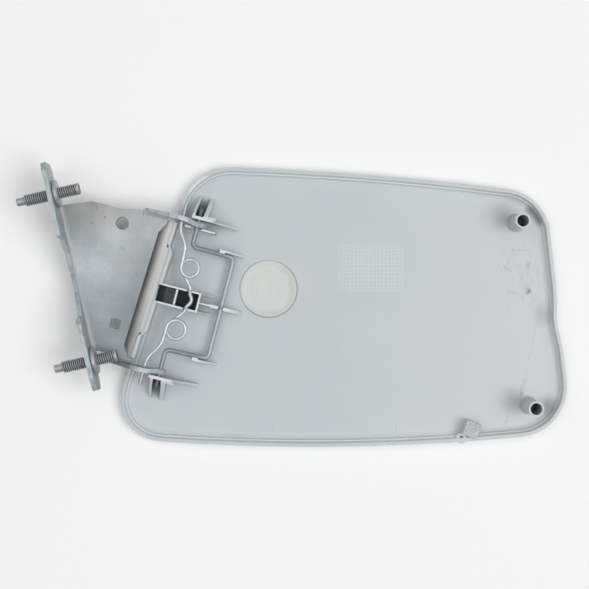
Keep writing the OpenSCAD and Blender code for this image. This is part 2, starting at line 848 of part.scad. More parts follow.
// Side view of an ear
module ear_view(nose) {
    top = hinge_z + ear_rise;
    low = hinge_z - ear_r;
    difference() {
        offset(r = 1.6, $fn = 32) offset(delta = -1.6) polygon([
            [ear_far, plate_z],
            [ear_far, fold_z + 0.4],
            [ear_far + 1.2, fold_z + 1.8],
            [-20, top - 3],
            [-14, top - 0.6],
            [-9, top],
            [-4.5, top - 1.2],
            [-0.6, hinge_z + ear_r + 0.6],
            [0.7 * nose, hinge_z + 3.2],
            [nose, hinge_z + 1.4],
            [nose, hinge_z - 1.4],
            [0.7 * nose, hinge_z - 3.2],
            [0.3 * nose, low],
            [-8, low],
            [plate_edge_u + 1.6, plate_z - 0.8],
            [plate_edge_u - 1, plate_z]
        ]);
        translate([ear_far - 1, 0]) square([plate_edge_u + relief - ear_far + 1, upright_z]);
    }
}

// Plan of an ear, with its small step towards the hinge's middle and its thin far end
module ear_plan(nose) {
    step_from = -6;
    step_to = -1.5;
    thin = 0.5;
    far_in = ear_in + ear_joggle;
    far_out = ear_out + ear_joggle;
    tip_v = (far_in + far_out) / 2;
    polygon([
        [ear_far, tip_v - thin],
        [ear_far + ear_taper / 3, far_in],
        [step_from, far_in],
        [step_to, ear_in],
        [nose + 1, ear_in],
        [nose + 1, ear_out],
        [step_to, ear_out],
        [step_from, far_out],
        [ear_far + ear_taper, far_out],
        [ear_far, tip_v + thin]
    ]);
}

module ear(nose) {
    root = plate_edge_u - ear_far;
    intersection() {
        linear_extrude(hinge_z + ear_rise + 1) ear_plan(nose);
        upright(ear_in - 1, sheet_t + ear_joggle + 2) ear_view(nose);
    }
    difference() {
        translate([ear_far, fold_in, fold_z]) rotate([90, 0, 90]) linear_extrude(root) fold_section();
        fold_trim();
    }
}

// What is sheared off the outer side of a fold along the thinning end of its ear
module fold_trim() {
    far_out = ear_out + ear_joggle;
    start_v = far_out - sheet_t / 2 + 0.5;
    slope = (far_out - start_v) / ear_taper;
    translate([0, 0, plate_z - 1]) linear_extrude(2 * fold_r + 2 * sheet_t) polygon([
        [ear_far - 1, start_v - slope],
        [ear_far + ear_taper + 1, far_out + slope],
        [ear_far + ear_taper + 1, far_out + 2],
        [ear_far - 1, far_out + 2]
    ]);
}

plate_hole_place = [-36, 28.6];
square_hole_place = [-27, -20];
module hinge_bracket() {
    color(steel_colour) difference() {
        union() {
            at_hinge() {
                translate([0, 0, plate_z]) linear_extrude(sheet_t) plate_plan();
                ear(nose_upper);
                mirror([0, 1, 0]) ear(nose_lower);
            }
            at_flange() flange();
        }
        at_hinge() {
            axis_bore(0, hinge_z, wire_d + 2 * pin_clearance, -ear_out - 2, ear_out + 2);
            axis_bore(-spring_arm, hinge_z, spring_hole_d, -ear_out - 2, ear_out + 2);
            translate([0, 0, plate_z + sheet_t / 2]) {
                translate(plate_hole_place) cylinder(d = plate_hole_d, h = 2 * sheet_t, center = true, $fn = 64);
                translate(square_hole_place) cube([square_hole, square_hole, 2 * sheet_t], center = true);
            }
        }
        at_flange() for (y = flange_y)
            translate([-1, y, stud_z]) rotate([0, 90, 0])
                cylinder(d = shank_d + 0.1, h = sheet_t + 2, $fn = 64);
    }
}

// Studs

module stud(y) {
    chamfer = 0.8;
    start = -thread_out - tip_l;
    end = sheet_t + collar_t + thread_in;
    color(stud_colour) at_flange() translate([0, y, stud_z]) rotate([0, 90, 0]) {
        translate([0, 0, start]) cylinder(d = tip_d, h = tip_l, $fn = 48);
        translate([0, 0, -thread_out]) cylinder(d1 = tip_d, d2 = stud_d, h = chamfer, $fn = 64);
        translate([0, 0, chamfer - thread_out]) cylinder(d = stud_d, h = thread_out - chamfer, $fn = 64);
        cylinder(d = shank_d, h = sheet_t, $fn = 64);
        translate([0, 0, sheet_t]) cylinder(d = collar_d, h = collar_t, $fn = 64);
        translate([0, 0, sheet_t + collar_t]) cylinder(d = stud_d, h = thread_in - chamfer, $fn = 64);
        translate([0, 0, end - chamfer])
            cylinder(d1 = stud_d, d2 = stud_d - 2 * chamfer, h = chamfer, $fn = 64);
    }
}

module upper_stud() stud(flange_y[1]);
module lower_stud() stud(flange_y[0]);

door_panel();
round_pad();
hinge_wire();
centre_spring();
hinge_bracket();
upper_stud();
lower_stud();
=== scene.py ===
"""Looks of a hinged car fuel door: moulded panel, pad, plated bracket, studs, hinge wire and spring.

Everything is in metres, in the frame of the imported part, whose outer face lies on the floor.
"""

import json
import math

import bpy
from mathutils import Matrix, Vector


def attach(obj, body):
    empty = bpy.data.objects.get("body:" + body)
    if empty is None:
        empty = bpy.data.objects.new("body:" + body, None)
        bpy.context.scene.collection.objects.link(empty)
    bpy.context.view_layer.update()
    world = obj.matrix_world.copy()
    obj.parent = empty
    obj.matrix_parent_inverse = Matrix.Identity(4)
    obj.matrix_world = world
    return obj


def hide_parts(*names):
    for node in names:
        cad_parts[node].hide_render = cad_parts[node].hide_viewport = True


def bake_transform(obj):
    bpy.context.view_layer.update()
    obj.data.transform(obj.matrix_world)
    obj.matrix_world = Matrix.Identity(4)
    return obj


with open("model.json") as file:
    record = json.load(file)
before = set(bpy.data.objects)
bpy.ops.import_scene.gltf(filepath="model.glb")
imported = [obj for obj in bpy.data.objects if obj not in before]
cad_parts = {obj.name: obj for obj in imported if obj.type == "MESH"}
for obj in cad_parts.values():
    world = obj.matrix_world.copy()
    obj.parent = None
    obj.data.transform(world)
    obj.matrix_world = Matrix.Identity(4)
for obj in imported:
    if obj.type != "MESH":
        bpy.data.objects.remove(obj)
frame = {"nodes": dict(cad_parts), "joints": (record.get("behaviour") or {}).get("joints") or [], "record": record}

bl_info = {
    "name": "Car fuel door",
    "version": (1, 0, 0),
    "blender": (4, 5, 0),
    "location": "3D View > Sidebar > Fuel door",
    "description": "Dresses the hinged fuel door of a car with its mouldings, threads, wires and finishes",
    "category": "Object",
}

MM = 0.001
MOUNTS = {m["name"]: m for m in frame["record"]["mounts"]}
HINGE = frame["joints"][0]
HINGE_POINT = Vector(HINGE["pos_m"])
HINGE_ALONG = -Vector(HINGE["axis"])
HINGE_TURN = math.atan2(-HINGE_ALONG.x, HINGE_ALONG.y)
# Turn of the hinge axis from the door's edge beside it, in degrees
HINGE_LEAN = 3.24
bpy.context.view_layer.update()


def linear(code):
    """An sRGB hex colour as the linear red, green and blue that a shader takes."""
    parts = [int(code[i : i + 2], 16) / 255 for i in (1, 3, 5)]
    return tuple(c / 12.92 if c <= 0.04045 else ((c + 0.055) / 1.055) ** 2.4 for c in parts)


def colour_property(name, code, description):
    return bpy.props.FloatVectorProperty(
        name=name, description=description, default=linear(code), size=3, min=0, max=1, subtype="COLOR"
    )


def length_property(name, mm, description):
    return bpy.props.FloatProperty(
        name=name, description=description, default=mm * MM, min=0, unit="LENGTH"
    )


class FuelDoorSizes(bpy.types.PropertyGroup):
    edge_break: length_property("Sheet edge", 0.25, "Rounding on the sheared edges of the bracket")
    mould_edge: length_property("Moulded edge", 0.15, "Rounding on the moulded edges of the panel")
    thread_pitch: length_property("Thread pitch", 1.0, "Distance between the threads on the studs")
    thread_depth: length_property("Thread depth", 0.61, "Depth of the thread on the studs")
    thread_d: length_property("Thread diameter", 6.0, "Outer diameter of the studs")
    wire_d: length_property("Hinge wire", 2.35, "Diameter of the hinge wire")
    spring_d: length_property("Spring wire", 1.8, "Diameter of the spring wire")
    grid_line: length_property("Grid line", 0.36, "Width of the lines of the grid on the panel")
    mark_w: length_property("Mould mark", 0.5, "Width of the small ridges by the rim")


class FuelDoorColours(bpy.types.PropertyGroup):
    panel: colour_property("Panel", "#bfc5c8", "Unpainted moulded plastic of the door")
    panel_pale: colour_property("Panel, pale", "#cbcdce", "Paler haze towards the free end")
    panel_smooth: colour_property("Panel, smooth", "#e9edee", "Smoother slope and wall inside the rim")
    panel_warm: colour_property("Panel, warm", "#bfbebd", "Warm tint on the lip of the hinge wall")
    # Painted shade at the bottoms of the deep pockets
    panel_pocket_shade: colour_property("Panel, deep", "#3b3e3f", "Bottoms of the deep pockets")
    # Painted shade on the lower half of the lip
    lip_low_shade: colour_property("Lip, dull", "#74777a", "Lower half of the lip of the hinge wall")
    # Painted highlight on the top of the lip
    lip_highlight: colour_property("Lip, bright", "#dcdbd9", "Top of the lip of the hinge wall")
    # Painted shade on the lip beside the bracket
    lip_bracket_shade: colour_property("Lip, grimy", "#5a5a59", "Grime on the lip beside the bracket")
    # Painted highlight on the top edges of the ribs by the hinge
    rib_top_highlight: colour_property("Edges, rubbed", "#e6eaec", "Top edges of the ribs by the hinge")
    line_raised: colour_property("Raised lines", "#e4e8ea", "Raised grid and mould marks")
    block_torn: colour_property("Block, torn", "#a3a2a4", "Broken-off top of the small block")
    # Dust and painted shade on the step inside the rim
    dust_and_shade: colour_property("Dust", "#8d969a", "Dust on the step inside the rim")
    # Painted shade in the corners and beside the bosses
    shade_spot: colour_property("Dust, thick", "#5a5f60", "Dust in the corners and beside the bosses")
    scuff: colour_property("Scuffs", "#8d9294", "Scratches and marks near the upper boss")
    pad: colour_property("Pad", "#cfd3d2", "Damping pad")
    pad_warm: colour_property("Pad, warm", "#d2d4cb", "Warmer clouds in the damping pad")
    # Painted shade along the edge of the pad
    pad_edge_shade: colour_property("Pad, edge", "#6f746f", "Pressed edge of the pad, where dust stays")
    bracket: colour_property("Bracket", "#b0b6ba", "Zinc plating on the pressed sheet")
    bracket_dull: colour_property("Bracket, dull", "#a0a6aa", "Duller clouds in the plating")
    bracket_fleck: colour_property("Bracket, flecks", "#c3c8ca", "Small light clouds in the plating")
    bracket_warm: colour_property("Bracket, warm", "#a8a6a3", "Handled places on the plate")
    bracket_blue: colour_property("Bracket, blue", "#acb9bd", "Blue cast on the ears and the flange")
    # Dark stains and scratches in the plating, and painted shade on the plate and the ears
    bracket_stain_and_shade: colour_property("Bracket, stain", "#6f7578", "Dark stains and scratches in the plating")
    # Painted highlight on the folds of the ears and of the flange
    fold_highlight: colour_property("Folds, bright", "#dde2e4", "Folds of the ears and of the flange")
    stud: colour_property("Studs", "#cacfd1", "Plating on the crests of the threads")
    stud_dull: colour_property("Studs, dull", "#7c8183", "Duller clouds on the studs")
    # Grime in the threads and on cut edges, and painted shade on the threads' lower side and at the far end of the
    # lower ear
    stud_dark_and_shade: colour_property("Studs, dark", "#43484a", "Grime in the threads and on cut edges")
    wire: colour_property("Hinge wire", "#a6afb3", "Plated wire of the hinge pin")
    wire_dull: colour_property("Wires, dull", "#99a1a5", "Duller clouds on both kinds of wire")
    wire_leg: colour_property("Hinge wire, legs", "#6f777a", "Legs of the hinge wire")
    # Painted shade on the ends of the hinge wire in the ears
    wire_end_shade: colour_property("Hinge wire, grimy", "#54595b", "Ends of the hinge wire in the ears")
    spring: colour_property("Spring", "#cdd5d8", "Bright drawn wire of the spring")
    spring_dull: colour_property("Spring, dull", "#878f93", "Ends of the spring in the ears")
    floor: colour_property("Floor", "#f6f6f6", "Paper that the door lies on")


def sizes():
    return bpy.context.scene.fuel_door_sizes


def colours():
    return bpy.context.scene.fuel_door_colours


def pick(*objects):
    """Selects only these objects, and makes the first one active."""
    bpy.ops.object.select_all(action="DESELECT")
    for obj in objects:
        obj.select_set(True)
    bpy.context.view_layer.objects.active = objects[0]


def named(name):
    """The object just added, under its own name."""
    obj = bpy.context.object
    obj.name = name
    obj.data.name = name
    return obj


def settle(obj):
    """Puts an object's place into its mesh, so that the object sits at the origin."""
    pick(obj)
    bpy.ops.object.transform_apply(location=True, rotation=True, scale=True)


def place(obj, matrix):
    obj.matrix_world = matrix
    settle(obj)


def smooth(obj, degrees):
    pick(obj)
    bpy.ops.object.shade_smooth_by_angle(angle=math.radians(degrees))


def apply_modifier(obj, kind, **settings):
    pick(obj)
    modifier = obj.modifiers.new(kind.title(), kind)
    for key, value in settings.items():
        setattr(modifier, key, value)
    bpy.ops.object.modifier_apply(modifier=modifier.name)


def outward_normals(obj):
    pick(obj)
    bpy.ops.object.mode_set(mode="EDIT")
    bpy.ops.mesh.select_all(action="SELECT")
    bpy.ops.mesh.remove_doubles(threshold=1e-6)
    bpy.ops.mesh.normals_make_consistent(inside=False)
    bpy.ops.object.mode_set(mode="OBJECT")


# Faces that lie within this many degrees of each other count as flat
FLAT_ANGLE = 0.5


def merged_copy(node, name):
    """A copy of a solid's mesh with its loose triangles joined and its flat faces made whole."""
    mesh = frame["nodes"][node].data.copy()
    obj = bpy.data.objects.new(name, mesh)
    bpy.context.scene.collection.objects.link(obj)
    mesh.materials.clear()
    pick(obj)
    bpy.ops.object.mode_set(mode="EDIT")
    bpy.ops.mesh.select_all(action="SELECT")
    bpy.ops.mesh.remove_doubles(threshold=2e-6)
    bpy.ops.mesh.dissolve_limited(angle_limit=math.radians(FLAT_ANGLE))
    bpy.ops.object.mode_set(mode="OBJECT")
    return obj


# In degrees: edges sharper than the first are rounded, and faces within the second are shaded as one
SHARP_ANGLE = 50
SHADE_ANGLE = 32


def softened_copy(node, name, width):
    """A merged copy with a narrow rounding on its sharp edges."""
    obj = merged_copy(node, name)
    bevel = {
        "width": width,
        "segments": 2,
        "limit_method": "ANGLE",
        "angle_limit": math.radians(SHARP_ANGLE),
        "use_clamp_overlap": True,
        "miter_outer": "MITER_ARC",
    }
    apply_modifier(obj, "BEVEL", **bevel)
    smooth(obj, SHADE_ANGLE)
    apply_modifier(obj, "WEIGHTED_NORMAL", keep_sharp=True, weight=100)
    return obj


def hinge_frame():
    """The hinge's frame: X square to the axis towards the free end, Y along the axis, Z up."""
    ground = Vector((HINGE_POINT.x, HINGE_POINT.y, 0))
    return Matrix.Translation(ground) @ Matrix.Rotation(HINGE_TURN, 4, "Z")


def at_hinge(u, v, z):
    """A place given in millimetres in the hinge's frame, in metres in the part's frame."""
    return hinge_frame() @ (Vector((u, v, z)) * MM)


def finish_piece(obj, body, slot, material, *replaced):
    """Gives a piece its material and the body that it moves with, and hides the solids that it replaces. The slot
    is not used.
    """
    obj.data.materials.clear()
    obj.data.materials.append(material)
    if body:
        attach(obj, body)
    if replaced:
        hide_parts(*replaced)


# Materials


def new_material(name):
    material = bpy.data.materials.new(name)
    material.use_nodes = True
    tree = material.node_tree
    shader = tree.nodes["Principled BSDF"]
    return material, tree, shader


def add(tree, kind, links=None, **settings):
    """Adds a node with its settings. Links give a socket or a number for an input's name or number."""
    node = tree.nodes.new(kind)
    for key, value in settings.items():
        setattr(node, key, value)
    for key, value in (links or {}).items():
        if isinstance(value, bpy.types.NodeSocket):
            tree.links.new(value, node.inputs[key])
        else:
            node.inputs[key].default_value = value
    return node


def per_mm(mm):
    """The scale of a pattern whose detail is that many millimetres across."""
    return 1 / (mm * MM)


def object_place(tree):
    return add(tree, "ShaderNodeTexCoord").outputs["Object"]


def axes(tree, vector):
    """The X, Y and Z sockets of a vector."""
    split = add(tree, "ShaderNodeSeparateXYZ", {0: vector})
    return [split.outputs[axis] for axis in "XYZ"]


def hinge_axes(tree, here):
    """A place along X and Y of the hinge's frame, in metres."""
    ground = (HINGE_POINT.x, HINGE_POINT.y, 0)
    links = {"Vector": here, "Location": ground, "Rotation": (0, 0, HINGE_TURN)}
    return axes(tree, add(tree, "ShaderNodeMapping", links, vector_type="TEXTURE").outputs[0])[:2]


def true_normal(tree):
    """The X, Y and Z of the way a face looks, without any bump."""
    return axes(tree, add(tree, "ShaderNodeNewGeometry").outputs["True Normal"])


def math_node(tree, operation, a, b=0.0):
    return add(tree, "ShaderNodeMath", {0: a, 1: b}, operation=operation).outputs["Value"]


def above(tree, value, limit):
    return math_node(tree, "GREATER_THAN", value, limit)


def below(tree, value, limit):
    return math_node(tree, "LESS_THAN", value, limit)


def inverse(tree, value):
    return math_node(tree, "SUBTRACT", 1.0, value)


def product(tree, *values):
    result = values[0]
    for value in values[1:]:
        result = math_node(tree, "MULTIPLY", result, value)
    return result


def highest(tree, *values):
    result = values[0]
    for value in values[1:]:
        result = math_node(tree, "MAXIMUM", result, value)
    return result


def ramp(tree, value, start, end, low=0.0, high=1.0, **settings):
    """Runs from low to high while the value runs from start to end."""
    links = {"Value": value, "From Min": start, "From Max": end, "To Min": low, "To Max": high}
    return add(tree, "ShaderNodeMapRange", links, **settings).outputs["Result"]


def ramp_mm(tree, value, start_mm, end_mm, low=0.0, high=1.0, **settings):
    """The same for a length, with its start and end in millimetres."""
    return ramp(tree, value, start_mm * MM, end_mm * MM, low, high, **settings)


def between(tree, value, low_mm, high_mm, soft_mm=0.05):
    """1 where the value lies between two lengths, and 0 outside them."""
    rise = ramp_mm(tree, value, low_mm - soft_mm, low_mm)
    fall = ramp_mm(tree, value, high_mm, high_mm + soft_mm, 1.0, 0.0)
    return product(tree, rise, fall)


def noise(tree, place_socket, mm, detail):
    links = {"Vector": place_socket, "Scale": per_mm(mm), "Detail": detail}
    return add(tree, "ShaderNodeTexNoise", links).outputs["Fac"]


def clouds(tree, place_socket, mm, detail=3.0, low=0.35, high=0.65):
    """A soft cloud pattern, from 0 to 1, whose blotches are that many millimetres across."""
    return ramp(tree, noise(tree, place_socket, mm, detail), low, high)


def drawn_out(tree, place_socket, turn_degrees, length):
    """A place whose patterns are drawn out that many times along a direction, for streaks."""
    links = {"Vector": place_socket, "Rotation": (0, 0, math.radians(turn_degrees)), "Scale": (1, length, 1)}
    return add(tree, "ShaderNodeMapping", links, vector_type="TEXTURE").outputs[0]


def mix(tree, factor, first, second):
    """First colour where the factor is 0, second where it is 1."""
    node = add(tree, "ShaderNodeMix", data_type="RGBA")
    for socket, value in (("Factor_Float", factor), ("A_Color", first), ("B_Color", second)):
        target = next(i for i in node.inputs if i.identifier == socket)
        if isinstance(value, bpy.types.NodeSocket):
            tree.links.new(value, target)
        else:
            target.default_value = value if socket == "Factor_Float" else (*value, 1)
    return next(o for o in node.outputs if o.identifier == "Result_Color")


def layered(tree, base, layers):
    """Lays colours over the base one after the other, each by its share from 0 to 1."""
    for share, colour in layers:
        base = mix(tree, share, base, colour)
    return base


def bump(tree, shader, height, depth_mm, strength=1.0):
    node = add(tree, "ShaderNodeBump", {"Height": height, "Distance": depth_mm * MM, "Strength": strength})
    tree.links.new(node.outputs["Normal"], shader.inputs["Normal"])


def distance(tree, x, y, centre):
    """How far a place lies on the ground from a centre given in metres."""
    dx = math_node(tree, "SUBTRACT", x, centre[0])
    dy = math_node(tree, "SUBTRACT", y, centre[1])
    return math_node(tree, "SQRT", math_node(tree, "ADD", product(tree, dx, dx), product(tree, dy, dy)))


def in_bore(tree, here, centre, radius_mm, dark_z_mm, light_z_mm):
    """Inside a round bore that stands on Z, from 0 at the light height to 1 at the dark height and below."""
    x, y, z = axes(tree, here)
    away = distance(tree, x, y, centre)
    inside = ramp_mm(tree, away, radius_mm, radius_mm + 0.04, 1.0, 0.0)
    return product(tree, inside, ramp_mm(tree, z, light_z_mm, dark_z_mm))


def spot(tree, x, y, centre_mm, reach_mm):
    """A soft round spot, from 1 at its centre to 0 at its reach."""
    away = distance(tree, x, y, [c * MM for c in centre_mm])
    return ramp_mm(tree, away, 0.0, reach_mm, 1.0, 0.0, interpolation_type="SMOOTHSTEP")


def streak(tree, place_socket, start_mm, end_mm, width_mm):
    """A thin streak between two places on the ground, from 0 to 1, for a scratch."""
    a, b = (Vector((*p, 0)) * MM for p in (start_mm, end_mm))
    middle, line = (a + b) / 2, b - a
    links = {"Vector": place_socket, "Location": middle, "Rotation": (0, 0, math.atan2(line.y, line.x))}
    turned = add(tree, "ShaderNodeMapping", links, vector_type="TEXTURE").outputs[0]
    along, across, _ = axes(tree, turned)
    parts = []
    for position, reach in ((along, line.length / 2), (across, width_mm * MM / 2)):
        away = math_node(tree, "ABSOLUTE", position)
        parts.append(ramp(tree, away, reach * 0.5, reach, 1.0, 0.0))
    return product(tree, *parts)


def thin_marks(tree, place_socket, marks_mm):
    """All the streaks of a list of start, end, width and strength, from 0 to 1."""
    marks = [
        product(tree, streak(tree, place_socket, start, end, width), strength)
        for start, end, width, strength in marks_mm
    ]
    return highest(tree, *marks)


# Rubbed marks on the panel: start, end, width and strength
SCRATCHES_MM = [
    ((98.1, -2.4), (91.3, -34.1), 0.7, 0.35),
    ((91.9, -33.0), (87.7, -48.5), 2.6, 0.4),
    ((83.0, -52.0), (80.9, -60.6), 0.7, 0.5),
    ((84.2, 29.3), (85.8, 28.1), 0.9, 0.75),
    ((85.8, 28.1), (93.2, 28.7), 0.7, 0.35),
    ((77.2, 20.2), (78.6, 21.6), 0.8, 0.5),
    ((80.3, 20.6), (81.1, 18.6), 0.8, 0.55),
    ((80.9, 19.2), (84.6, 17.5), 0.8, 0.5),
    ((91.0, 6.0), (94.2, 8.8), 2.0, 0.7),
    ((89.2, 8.6), (92.0, 10.0), 1.2, 0.45),
    ((82.2, 7.3), (87.2, 6.7), 1.4, 0.25),
    ((93.0, 25.4), (92.2, 13.5), 2.4, 0.3),
    ((87.6, -6.5), (88.0, -6.3), 0.9, 0.5),
]
# Painted shade in spots on the floor and its slopes: place, reach and strength
SHADE_SPOTS_MM = [
    ((93.2, 48.6), 3.7, 0.6),
    ((95.0, 46.8), 3.7, 0.6),
    ((96.6, 44.8), 3.7, 0.6),
    ((98.0, 42.6), 3.7, 0.6),
    ((102.4, -50.0), 8.0, 0.5),
    ((81.0, 46.4), 13.0, 0.22),
    ((85.0, -47.8), 10.0, 0.18),
    ((100.5, -4.0), 8.5, 0.25),
    ((92.8, 7.8), 2.4, 0.38),
]
BOSSES = ("upper_boss", "lower_boss")
# Centre of the broken block and half of its width, centre of the eyelet beside it, and their heights
BLOCK_MM = ((63.25, -61.2), 4.9)
BLOCK_TOP_MM = 10.2
EYELET_MM = (58.25, -65.7)
EYELET_R_MM = 1.25
BORE_R_MM = 2.9
# Heights of the step inside the rim, and of the slope and the wall around it
STEP_MM = (5.3, 5.9)
LOW_WALL_MM = (3.2, 7.6)
# The box moulded round the middle of the spring, along X and Y of the hinge's frame, and its wall
BOX_HALF = 4.1
BOX_T = 0.9
BOX_FROM_U = -12.5
BOX_TO_U = 9.3
# The moulding round the hinge, along X and Y of the hinge's frame
HINGE_MOULDING_MM = ((-9, 46), (-62, 62))


def lip_layers(tree, u, v, z):
    """The lip of the hinge wall is warm, with painted shade on its lower half, a painted highlight at its top and
    painted shade beside the bracket.
    """
    tint = colours()
    out = math_node(tree, "SUBTRACT", u, product(tree, v, math.tan(math.radians(HINGE_LEAN))))
    on_lip = product(tree, ramp_mm(tree, out, -13.2, -14.2), ramp_mm(tree, z, 8, 11))
    # Painted shade on the lower half, a painted highlight at the top, painted shade beside the bracket
    dull = product(tree, on_lip, ramp_mm(tree, v, -2, -22), 0.45)
    bright = product(tree, on_lip, ramp_mm(tree, v, 10, 28), ramp_mm(tree, out, -18.5, -15.5), 0.55)
    bracket_shade = product(tree, on_lip, ramp_mm(tree, out, -15.2, -19), ramp_mm(tree, v, 12, 22, 0.85, 0.6))
    return [
        (on_lip, tint.panel_warm),
        (dull, tint.lip_low_shade),
        (bright, tint.lip_highlight),
        (bracket_shade, tint.lip_bracket_shade),
    ]


def rim_layers(tree, here, u, v):
    """Dust and painted shade on the step inside the rim, paler walls, which are smoother than the floor, and
    painted highlights on the top edges of the ribs by the hinge.
    """
    tint = colours()
    x, _, z = axes(tree, here)
    facing = true_normal(tree)[2]
    # Dust and painted shade on the step
    step = product(tree, between(tree, z, *STEP_MM), above(tree, facing, 0.9), 0.2)
    by_hinge = product(
        tree, between(tree, u, *HINGE_MOULDING_MM[0]), between(tree, v, *HINGE_MOULDING_MM[1])
    )
    low_wall = product(tree, between(tree, z, *LOW_WALL_MM, 0.4), inverse(tree, by_hinge))
    for boss in BOSSES:
        around = in_bore(tree, here, MOUNTS[boss]["pos_m"], 7.0, 8.0, 9.0)
        low_wall = product(tree, low_wall, inverse(tree, around))
    low_wall = product(tree, low_wall, ramp_mm(tree, x, 55, 85, 0.45, 0.15))
    # Painted highlight on the top edges of the ribs by the hinge
    top_edge = product(tree, ramp_mm(tree, z, 3.0, 3.4), above(tree, facing, 0.15), by_hinge, 0.5)
    return [(step, tint.dust_and_shade), (low_wall, tint.panel_smooth), (top_edge, tint.rib_top_highlight)]


def pocket_shade(tree, here, u, v):
    """How much painted shade a place gets deep in the spring box, the sockets, the bosses or the eyelet, from 0 to
    1, less where a painted gleam lightens the middle of the box.
    """
    z = axes(tree, here)[2]
    side = math_node(tree, "ABSOLUTE", v)
    in_box = product(tree, between(tree, side, -1, BOX_HALF), between(tree, u, BOX_FROM_U, BOX_TO_U))
    # A painted gleam lightens the middle of the spring box
    gleam = product(tree, between(tree, u, -7.5, -3.6, 2.0), 0.4)
    box = product(tree, in_box, inverse(tree, gleam), ramp_mm(tree, z, 15.0, 9.5))
    in_pit = product(tree, between(tree, u, -2.35, 2.05, 0.1), ramp_mm(tree, side, 53.0, 42.5))
    pit = product(tree, in_pit, between(tree, side, 40.9, 60), ramp_mm(tree, z, 19.5, 14.0))
    bores = [
        product(tree, in_bore(tree, here, MOUNTS[boss]["pos_m"], BORE_R_MM, 17.5, 23.8), 0.3)
        for boss in BOSSES
    ]
    eyelet = in_bore(tree, here, [c * MM for c in EYELET_MM], EYELET_R_MM, 6.4, 7.9)
    return highest(tree, box, pit, *bores, eyelet)


def wear_layers(tree, here, u, v):
    """Scratches, smears, painted shade in spots on the floor and its slopes, and painted shade deep in the
    pockets, all on the inner side. The outer face stays clean.
    """
    tint = colours()
    x, y, z = axes(tree, here)
    inner = ramp_mm(tree, z, 0.8, 1.2)
    broken = clouds(tree, here, 1.6, 3, 0.36, 0.6)
    scratches = product(tree, thin_marks(tree, here, SCRATCHES_MM), broken, inner)
    on_floor = ramp_mm(tree, z, 3.0, 2.7)
    rubbed = product(tree, between(tree, x, 82, 96, 7), between(tree, y, 4, 28, 8), on_floor)
    streaky = clouds(tree, drawn_out(tree, here, -8, 3.5), 1.8, 5, 0.5, 0.75)
    smears = product(tree, rubbed, streaky, 0.3, inner)
    low = product(tree, ramp_mm(tree, z, 6.1, 5.7), inner)
    # Painted shade in spots on the floor and its slopes
    dust_and_shade = [
        (product(tree, spot(tree, x, y, centre, reach), low, strength), tint.shade_spot)
        for centre, reach, strength in SHADE_SPOTS_MM
    ]
    # Painted shade deep in the pockets
    deep = product(tree, pocket_shade(tree, here, u, v), inner)
    return [(scratches, tint.scuff), (smears, tint.scuff), *dust_and_shade, (deep, tint.panel_pocket_shade)]


def moulded_plastic(name="moulded_panel_plastic", raised=False):
    """Unpainted moulded plastic: an even grey with a matt, finely eroded surface and slow changes of tone, with
    painted shade and painted highlights laid over it.
    """
    material, tree, shader = new_material(name)
    tint = colours()
    here = object_place(tree)
    x, y, z = axes(tree, here)
    u, v = hinge_axes(tree, here)
    haze = product(tree, ramp_mm(tree, x, 0, 100), 0.75)
    slow = product(tree, clouds(tree, here, 24, 4), 0.3)
    base = layered(tree, tint.panel, [(haze, tint.panel_pale), (slow, tint.panel_pale)])
    base = layered(tree, base, lip_layers(tree, u, v, z))
    base = layered(tree, base, rim_layers(tree, here, u, v))
    base = layered(tree, base, wear_layers(tree, here, u, v))
    # The broken-off top of the block is duller and mottled, with pits of about 0.9 mm
    (block_x, block_y), reach = BLOCK_MM
    torn = product(
        tree,
        between(tree, x, block_x - reach, block_x + reach, 0.2),
        between(tree, y, block_y - reach, block_y + reach, 0.2),
        ramp_mm(tree, z, BLOCK_TOP_MM, BLOCK_TOP_MM + 0.2),
        clouds(tree, here, 0.9, 3, 0.35, 0.65),
    )
    base = mix(tree, product(tree, torn, 0.8), base, tint.block_torn)
    if raised:
        base = mix(tree, 0.3, base, tint.line_raised)
    tree.links.new(base, shader.inputs["Base Color"])
    shader.inputs["Roughness"].default_value = 0.5
    shader.inputs["Specular IOR Level"].default_value = 0.35
    # Spark eroded grain is about 0.1 mm on the real part and is drawn at 0.5 mm so that it shows
    grain = product(tree, noise(tree, here, 0.5, 2.0), 0.1)
    bump(tree, shader, math_node(tree, "ADD", grain, torn), 0.3, 0.5)
    return material


# Centre of the pad in the hinge's frame, and its radius
PAD_MM = ((41.4, 15.3), 14.6)
PAD_EDGE_MM = 0.75


def foam_pad():
    """Soft damping pad: off-white, matt, with a faint open-cell grain and painted shade along its edge, strongest
    towards the free end and the bottom.
    """
    material, tree, shader = new_material("foam_damping_pad")
    tint = colours()
    here = object_place(tree)
    x, y, _ = axes(tree, here)
    centre = at_hinge(*PAD_MM[0], 0)
    radius = PAD_MM[1]
    base = mix(tree, product(tree, clouds(tree, here, 6), 0.6), tint.pad, tint.pad_warm)
    # Painted shade along the edge, strongest towards the free end and the bottom
    edge = inverse(tree, in_bore(tree, here, centre, radius - PAD_EDGE_MM, 2.0, 9.0))
    to_free_end = ramp(tree, x, centre.x, centre.x + radius * MM * 0.7)
    to_bottom = ramp(tree, y, centre.y - radius * MM * 0.3, centre.y - radius * MM * 0.8)
    edge_shade = product(tree, edge, highest(tree, to_free_end, to_bottom, 0.35), 0.5)
    base = mix(tree, edge_shade, base, tint.pad_edge_shade)
    tree.links.new(base, shader.inputs["Base Color"])
    shader.inputs["Roughness"].default_value = 0.62
    cells = add(tree, "ShaderNodeTexVoronoi", {"Vector": here, "Scale": per_mm(0.6)})
    bump(tree, shader, cells.outputs["Distance"], 0.03, 0.3)
    return material


